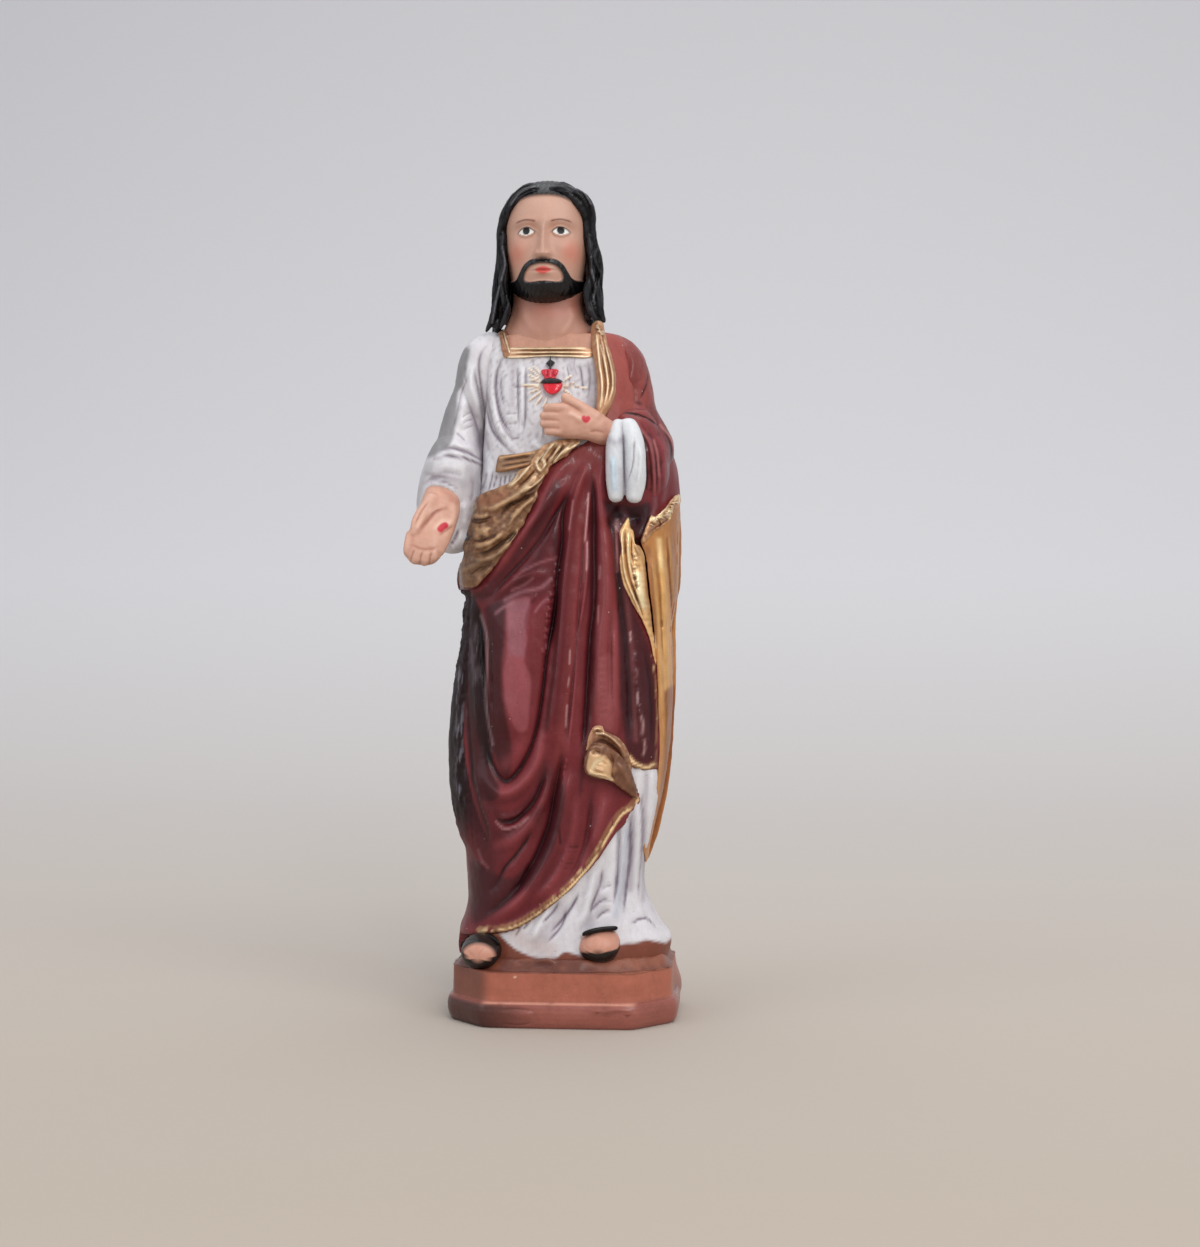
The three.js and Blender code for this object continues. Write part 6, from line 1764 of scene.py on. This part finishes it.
feet = {
    "right": {"rows": [(-17.2, -7.6, 17.2, 3.8, 3.2), (-17.6, -13.0, 17.0, 4.7, 3.6),
        (-17.8, -16.8, 16.3, 4.4, 3.4)],
        "bare": [(464, 951), (470, 947), (478, 945), (490, 946), (494, 951), (493, 957), (486, 960.5),
        (472, 960), (465, 956)],
        "strap": [(460, 946), (468, 940), (478, 937), (490, 937), (500, 944)], "proud": 0.8},
    "left": {"rows": [(10, -7.4, 20.5, 4.0, 4.0), (10, -13.2, 19.0, 4.8, 3.8), (10, -16.6, 17.9, 4.5, 3.4)],
        "bare": [(576, 936), (584, 933), (600, 932), (618, 931), (620, 940), (618, 948), (606, 952),
        (588, 952.5), (577, 950)],
        "strap": [(582, 934.5), (592, 931), (603, 929), (618, 928)], "proud": 1.0}}


feetPaint = {"skin": colour(190, 136, 116), "lit": colour(206, 152, 132), "sandal": colour(30, 22, 20),
    "strap": colour(26, 22, 21), "rough": 0.42, "strapRough": 0.3}


def makeFeet():
    for name, foot in feet.items():
        piece = limbPiece(name + "Foot", foot["rows"], 70, 70)
        carved = carve(piece, [
            ("crease", 0.25, 0.25, (586, 936), (586, 945), (585, 951)),
            ("crease", 0.25, 0.25, (594, 935), (594, 945), (593, 952)),
            ("crease", 0.25, 0.25, (602, 934), (602, 944), (601, 952)),
            ("crease", 0.25, 0.25, (472, 948), (471, 955), (470, 960)),
            ("crease", 0.25, 0.25, (480, 946), (480, 954), (479, 961))], [], 0.06, 91)
        skin = washedAndShaded(piece, carved, feetPaint["skin"], feetPaint["lit"], fleshDeep)
        sole = ease(0.1, -0.1, depthIn(foot["bare"], seen(pointsOf(piece))))
        paint(piece, mix(skin, feetPaint["sandal"], sole), rough=feetPaint["rough"] - 0.12 * sole)
        finishPiece(piece, finishes["skin"])
        band = stripPiece(name + "Strap", [(x, y - 2.4) for x, y in foot["strap"]],
            [(x, y + 2.4) for x, y in foot["strap"]], 0.9, 30, 60, standOff=foot["proud"])
        paint(band, feetPaint["strap"], rough=feetPaint["strapRough"])
        finishPiece(band, finishes["hair"])


makeFeet()
print("feet ready")


# The neck is painted darker than the face as shade under the head, and turns to the chest's skin colour
# lower down
neckPaint = {"skin": colour(162, 118, 102), "lit": colour(192, 146, 128), "washAndShadeShare": 0.4,
    "throat": colour(184, 136, 116), "rough": 0.42}


def makeNeck():
    neck = limbPiece("neck", [(-3.2, 1.2, 154.5, 13.0, 8.6), (-3.4, 0.6, 163, 11.4, 8.2),
        (-3.5, 0.2, 168.5, 9.0, 7.2), (-3.6, -0.4, 177, 8.0, 6.8)], 90, 90)
    carved = carve(neck, [
        ("fold", 0.4, 1.0, (520, 305), (530, 325), (542, 340)),
        ("fold", 0.4, 1.0, (578, 305), (568, 325), (558, 340))], [], 0.04, 101)
    shade = washedAndShaded(neck, carved, neckPaint["skin"], neckPaint["lit"], fleshDeep,
        washAndShadeShare=neckPaint["washAndShadeShare"])
    shade = mix(shade, neckPaint["throat"], 0.85 * ease(168, 159, pointsOf(neck)[:, 2]))
    # Among the neck's tones are a pink blush and a band of painted shade under the beard
    paint(neck, toned(neck, shade, [
        (colour(200, 118, 100), 0.45, 2.4, (540, 306), (560, 309), (572, 306)),
        (colour(136, 86, 72), 0.65, 2.2, (516, 300), (540, 304), (565, 303), (580, 300)),
        (colour(166, 114, 98), 0.3, 2.4, (515, 318), (525, 328), (545, 330))]), rough=neckPaint["rough"])
    finishPiece(neck, finishes["skin"])


makeNeck()
print("neck ready")


# The head. Its face is an even, calm one on the usual proportions of a drawing book.
head = {"x": -3.6, "y": -1.0, "middle": 184.2, "halfHeight": 14.6, "squareness": 2.15, "crowd": 0.62,
    "eyeLine": 185.4, "brow": 187.4, "noseBase": 179.4, "mouth": 176.2, "eyeApart": 4.1, "eyeWide": 2.05,
    "hairline": 193.9, "templeDrop": 4.2, "templeAt": 9.4, "hairRise": 0.6, "strandDepth": 0.045}
headReach = tableReader([[169.6, 1.4, 4.0, 0.5], [170.2, 4.3, 7.6, 3.4], [171.6, 6.6, 9.0, 5.4],
    [174, 8.2, 9.7, 6.8], [177, 9.1, 10.0, 7.8], [180, 9.8, 10.1, 8.4], [184, 10.3, 10.2, 9.2],
    [188, 10.4, 10.3, 10], [192, 10.1, 9.6, 10.2], [195, 8.8, 8.0, 9.4], [197.2, 6.2, 5.4, 7.0],
    [198.4, 3.2, 2.6, 3.6], [198.8, 0.6, 0.5, 0.6]])


def faceForm(x, z):
    side = np.abs(x)
    up = np.clip((z - head["noseBase"]) / (head["brow"] - head["noseBase"]), 0, 1)
    below = ease(head["noseBase"] - 0.9, head["noseBase"] + 0.5, z)
    nose = (0.5 + 2.1 * (1 - up)) * bell(side / (0.9 + 0.75 * (1 - up) ** 2)) * below * ease(191, 186, z)
    nose = nose + 0.7 * bell((side - 1.5) / 0.65) * bell((z - head["noseBase"] - 0.7) / 0.75)
    eyeX, eyeZ = (side - head["eyeApart"]) / head["eyeWide"], z - head["eyeLine"]
    socket = -1.0 * bell(eyeX / 1.5) * bell(eyeZ / 1.9)
    ball = 0.75 * np.sqrt(np.clip(1 - eyeX ** 2 - (eyeZ / 1.35) ** 2, 0, 1))
    lid = 0.3 * bell((eyeZ - 1.15 * (1 - 0.6 * eyeX ** 2)) / 0.3) * bell(eyeX / 1.2)
    brow = 0.55 * bell((side - 4.2) / 3.2) * bell((z - head["brow"] - 0.4) / 1.1)
    cheek = 0.7 * bell((side - 6.0) / 2.6) * bell((z - 181.6) / 2.6)
    mouth = z - head["mouth"]
    muzzle = 0.8 * bell(side / 3.4) * bell((mouth + 0.4) / 3.0)
    upperLip = 0.5 * bell((mouth - 0.5) / 0.4) * bell(side / 1.9)
    lowerLip = 0.55 * bell((mouth + 0.65) / 0.45) * bell(side / 1.6)
    lips = upperLip + lowerLip - 0.4 * bell(mouth / 0.18) * bell(side / 2.2)
    chin = 0.9 * bell(side / 2.9) * bell((z - 172.6) / 1.8)
    chin -= 0.4 * bell(side / 2.2) * bell((mouth + 2.1) / 0.7)
    return nose + socket + ball + lid + brow + cheek + muzzle + lips + chin


beardOutline = [(0, 179.5), (1.5, 179.3), (3.2, 178.8), (4.7, 177.7), (5.6, 176.2), (6.4, 175.0),
    (7.4, 174.8), (8.9, 175.5), (9.5, 174.9), (8.3, 172.8), (6.0, 170.9), (3.4, 169.8), (0, 169.3)]
barePatch = [(0, 177.5), (1.6, 177.4), (3.0, 176.9), (3.9, 175.8), (4.1, 174.4), (3.0, 173.8), (0, 173.7)]
facePaint = {"skin": colour(188, 146, 128), "brow": colour(196, 158, 140), "cheek": colour(208, 112, 92),
    "socket": colour(176, 128, 108), "eyeWhite": colour(230, 228, 224), "iris": colour(18, 16, 16),
    "lid": colour(34, 22, 20), "eyebrow": colour(96, 48, 36), "lips": colour(206, 70, 64),
    "mouthLine": colour(120, 34, 34), "hair": colour(13, 12, 14), "hairLit": colour(28, 27, 30)}


def mirrored(outline):
    whole = outline + [(-x, z) for x, z in reversed(outline) if x > 0]
    return [(x * pixelsPerMm, z * pixelsPerMm) for x, z in whole]


def makeHead():
    def place(upward, turn):
        angle = upward * math.pi
        height = head["middle"] - head["halfHeight"] * np.cos(angle)
        bent = crowded(turn, head["crowd"])
        wide, front, back = headReach(height)
        c, s = np.cos(bent), np.sin(bent)
        deep, square = np.where(s < 0, front, back), head["squareness"]
        radius = ((np.abs(c) / wide) ** square + (np.abs(s) / deep) ** square) ** (-1 / square)
        radius *= np.clip(np.sin(angle) * 30, 0, 1)
        return np.stack([head["x"] + radius * c, head["y"] + radius * s, height], 1) + shift
    face = rolledPiece("head", 210, 190, place)
    points = pointsOf(face)
    x, z = points[:, 0] - head["x"] - shift[0], points[:, 2]
    front = ease(-0.1, -0.5, normalsOf(face)[:, 1])
    points[:, 1] -= faceForm(x, z) * front
    setPoints(face, points)
    at = np.stack([x, z], 1) * pixelsPerMm
    bare = depthIn(mirrored(barePatch), at, 6, 1.0)
    beard = np.minimum(depthIn(mirrored(beardOutline), at, 6, 1.0), -bare)
    strands = np.sin(x * 5.5 + 2.2 * np.sin(z * 1.3) + wobble(points, 4, 111)) * head["strandDepth"]
    overline = z - head["hairline"] + head["templeDrop"] * (np.abs(x) / head["templeAt"]) ** 2.8
    grown = np.maximum(ease(-0.05, 0.35, beard) * (points[:, 1] < 4), ease(-0.1, 0.3, overline))
    setPoints(face, points + normalsOf(face) * (grown * (head["hairRise"] + strands))[:, None])
    paints = facePaint
    shade = np.tile(paints["skin"], (len(points), 1))
    shade = mix(shade, paints["brow"], 0.6 * bell(x / 6) * ease(187, 191, z))
    cheek = bell((np.abs(x) - 6.6) / 2.2) * bell((z - 180.6) / 2.6) * front
    shade = mix(shade, paints["cheek"], 0.5 * cheek)
    # Painted shade in the eye sockets
    socket = bell((np.abs(x) - 2.4) / 1.2) * bell((z - 186.4) / 1.6) * front
    shade = mix(shade, paints["socket"], 0.5 * socket)
    eyeX, eyeZ = (np.abs(x) - head["eyeApart"]) / head["eyeWide"], z - head["eyeLine"]
    top, bottom = 1.05 * (1 - eyeX ** 2), -0.75 * (1 - eyeX ** 2)
    eyeWhite = ease(-0.06, 0.06, np.minimum(top - eyeZ, eyeZ - bottom)) * front * (np.abs(eyeX) < 1)
    shade = mix(shade, paints["eyeWhite"], eyeWhite)
    iris = ease(0.95, 0.82, np.hypot(np.abs(x) - head["eyeApart"], eyeZ - 0.25)) * eyeWhite
    shade = mix(shade, paints["iris"], iris)
    lidLine = bell((eyeZ - top) / 0.16) * ease(1.12, 0.95, np.abs(eyeX)) * front
    shade = mix(shade, paints["lid"], 0.95 * np.clip(lidLine * 1.3, 0, 1))
    browRise = 0.75 * np.cos(np.clip((np.abs(x) - 4.2) / 3.0, -1, 1) * 1.4)
    browMask = bell((z - head["brow"] - browRise) / 0.2) * ease(1.6, 2.2, np.abs(x))
    browMask *= ease(7.0, 5.8, np.abs(x))
    shade = mix(shade, paints["eyebrow"], 0.9 * np.clip(browMask * 1.2, 0, 1) * front)
    mouth = z - head["mouth"]
    upper, under = 0.8 * (1 - (x / 2.1) ** 2), -0.95 * (1 - (x / 1.9) ** 2)
    lips = ease(-0.12, 0.12, np.minimum(upper - mouth, mouth - under)) * (np.abs(x) < 2.1) * front
    shade = mix(shade, paints["lips"], 0.85 * lips)
    shade = mix(shade, paints["mouthLine"], 0.6 * bell(mouth / 0.12) * bell(x / 1.6) * front)
    shade = mix(shade, mix(paints["hair"], paints["hairLit"], np.clip(strands * 8, 0, 0.6)), grown)
    paint(face, shade, rough=0.44 - 0.16 * grown)
    finishPiece(face, finishes["skin"])


makeHead()
print("head ready")


# Hair: a cap and a fall of locks from a centre parting, with strands laid over them.
# The reaches are sideways from the parting: at the temple, ear, jaw, neck and tip of the outermost lock.
hairSizes = {"capHalf": (10.9, 10.4, 11.6), "capMiddle": (1.2, 187.0), "strandWide": 1.4, "wave": 0.7,
    "waveLength": 10.5, "cell": 0.34, "locks": 8, "backLocks": 7,
    "right": {"reach": (10.4, 10.3, 11.3, 12.3, 13.4), "tip": 163.0},
    "left": {"reach": (10.2, 10.9, 11.7, 11.2, 11.9), "tip": 164.2}}
hairPaint = {"lit": colour(60, 59, 64), "groove": colour(6, 6, 7), "glint": colour(128, 126, 132)}
hairLines = [
    [(545, 184), (532, 185), (518, 191), (508, 203), (503, 220)],
    [(545, 189), (530, 190), (518, 196), (510, 207)],
    [(551, 184), (566, 185), (580, 191), (588, 203), (592, 220)],
    [(551, 189), (566, 190), (577, 195), (586, 206)],
    [(501, 225), (499, 245), (502, 262), (498, 280), (500, 300), (494, 322)],
    [(505, 262), (503, 280), (506, 298), (502, 315), (499, 328)],
    [(496, 262), (496, 285), (492, 305), (489, 322)],
    [(593, 222), (596, 240), (592, 256), (597, 274), (594, 292), (600, 312)],
    [(589, 250), (588, 268), (592, 285), (590, 300), (595, 318)],
    [(599, 262), (600, 280), (603, 298), (602, 314)]]
# The locks beside the face, from the top down: x, y in the photograph, depth, half width, half thickness
frontLocks = [
    [(505, 213, -6.4, 0.9, 1.5), (500.6, 229, -5.8, 0.85, 1.4), (499.6, 246, -5.4, 0.75, 1.3),
    (500, 260, -5.2, 0.95, 1.3), (498, 277, -5.0, 1.05, 1.3), (496, 293, -4.8, 1.05, 1.3),
    (495.6, 308, -4.6, 1.05, 1.3), (492, 320, -4.4, 0.9, 1.1), (486.5, 331, -4.2, 0.4, 0.7)],
    [(503, 254, -6.6, 0.6, 1.0), (504, 268, -6.8, 0.9, 1.1), (502, 283, -6.6, 0.95, 1.1),
    (503.6, 297, -6.4, 1.0, 1.1), (507, 309, -6.2, 0.95, 1.0), (504.5, 320, -6.0, 0.8, 0.9),
    (500.5, 328, -5.8, 0.3, 0.6)],
    [(576, 191, -8.8, 0.8, 1.1), (586, 200, -7.8, 1.1, 1.3), (591.4, 213, -6.6, 1.1, 1.4),
    (592, 228, -5.8, 0.95, 1.4), (593.6, 242, -5.4, 1.0, 1.3),
    (597.6, 256, -5.2, 1.05, 1.3), (599.8, 270, -5.0, 0.95, 1.3), (598.8, 284, -4.8, 0.95, 1.3),
    (597.8, 298, -4.6, 1.05, 1.3), (600, 311, -4.4, 1.05, 1.1), (604, 321, -4.2, 0.6, 0.8)],
    [(589, 238, -6.6, 0.5, 1.0), (591, 251, -6.8, 0.9, 1.1), (592.6, 265, -6.8, 0.85, 1.1),
    (592, 277, -6.6, 0.95, 1.1), (588, 289, -6.4, 1.15, 1.1), (587.6, 300, -6.2, 0.95, 1.0),
    (591, 311, -6.0, 0.85, 0.9), (596, 319, -5.8, 0.5, 0.7)]]


def makeHair():
    x, (midY, midZ), half = head["x"], hairSizes["capMiddle"], hairSizes["capHalf"]
    cap = limbPiece("cap", [(x, midY, midZ - 9, half[0] * 0.93, half[1] * 0.9),
        (x, midY, midZ, half[0], half[1]), (x, midY, midZ + 5.5, half[0] * 0.9, half[1] * 0.88),
        (x, midY, midZ + 8.4, half[0] * 0.62, half[1] * 0.62)], 40, 40, capLength=0.42)
    back = limbPiece("backHair", [(x, 4.6, 192, 9.4, 6.2), (x, 6.0, 181, 11.4, 6.2),
        (x + 0.2, 7.2, 170, 12.0, 4.8), (x + 0.6, 8.6, 160.5, 9.8, 3.0)], 40, 40)
    parts = [cap, back]
    parts += [limbPiece("lock", stops(*rows)[::-1], 20, 60) for rows in frontLocks]
    random = np.random.default_rng(7)
    strands = []
    for side, name in ((-1, "right"), (1, "left")):
        reach, tip = hairSizes[name]["reach"], hairSizes[name]["tip"]
        for k in range(hairSizes["locks"]):
            share = k / (hairSizes["locks"] - 1)
            crown = math.sin(math.pi * (0.12 + 0.74 * share))
            y = -5.0 + 12.0 * share
            inner = 1.1 * (1 - share) if share < 0.3 else 0
            strands.append([(x + side * 1.5, -8.2 + 15.5 * share, 194.4 + 3.3 * crown),
                (x + side * 4.6, -8.4 + 15.4 * share, 193.8 + 4.1 * crown),
                (x + side * (8.9 + 0.1 * crown), -7.2 + 14.0 * share, 190.2 + 3.2 * crown),
                (x + side * reach[0], y - 0.4, 187.0), (x + side * (reach[1] - 0.4 * inner), y, 180.5),
                (x + side * (reach[2] - 0.7 * inner), y + 0.4, 174.0),
                (x + side * (reach[3] - inner), y + 0.8, 168.5),
                (x + side * (reach[4] - 1.4 * inner), y + 1.0,
                    tip + 4.4 * abs(share - 0.35) + random.uniform(-0.6, 0.6))])
    for k in range(hairSizes["backLocks"]):
        share = k / (hairSizes["backLocks"] - 1)
        across = -9 + 18 * share
        strands.append([(x + across * 0.15, 3.5, 198.2), (x + across * 0.7, 8.6, 194.2),
            (x + across, 10.8, 186.0), (x + across * 1.1, 11.6, 176.0), (x + across * 1.05, 12.0, 167.0),
            (x + across * 0.9, 11.6, 159.6 + 1.5 * abs(share - 0.5))])
    for k, line in enumerate(strands):
        path = curveThrough(line, 6)
        run = np.concatenate([[0], np.cumsum(np.linalg.norm(np.diff(path, axis=0), axis=1))])
        wave = hairSizes["wave"] * np.sin(run / hairSizes["waveLength"] * 2 * math.pi + k)
        wave *= ease(9, 16, run)
        path[:, 1] += wave
        path[:, 0] += 0.4 * wave
        wide = hairSizes["strandWide"] * (0.75 + 0.4 * np.sin(np.linspace(0.3, math.pi - 0.1, len(path))))
        rows = [(*p, w, w * 0.8) for p, w in zip(path[::3], wide[::3])]
        parts.append(limbPiece("strand", rows, 10, 46, across=(0, 1, 0.01)))
    hair = fuse("hair", parts, hairSizes["cell"], 2)
    locks = [("crease", 0.6, 0.3, *line) for line in hairLines]
    locks += [("fold", 0.5, 0.35, *[(x + 3.2, y + 1) for x, y in line]) for line in hairLines]
    carved = carve(hair, locks, [], 0.05, 121)
    # Painted highlight on the strands' ridges and painted shade in the grooves between them, with painted
    # glints
    groove = np.clip(hollow(hair, 3) + carved[0] - 0.6 * carved[1], -1, 1)
    shade = mix(facePaint["hair"], hairPaint["lit"], 0.45 * np.clip(-groove, 0, 1))
    shade = mix(shade, hairPaint["groove"], 0.8 * np.clip(groove, 0, 1))
    front = ease(-0.2, -0.5, normalsOf(hair)[:, 1])
    glints = [(hairPaint["glint"], 0.6, 0.16, *[(x + 3.2, y + 1) for x, y in line[1:4]])
        for line in hairLines[::2]]
    shade = mix(shade, toned(hair, shade.copy(), glints), front)
    paint(hair, shade, rough=0.28)
    finishPiece(hair, finishes["hair"])


makeHair()
print("hair ready")
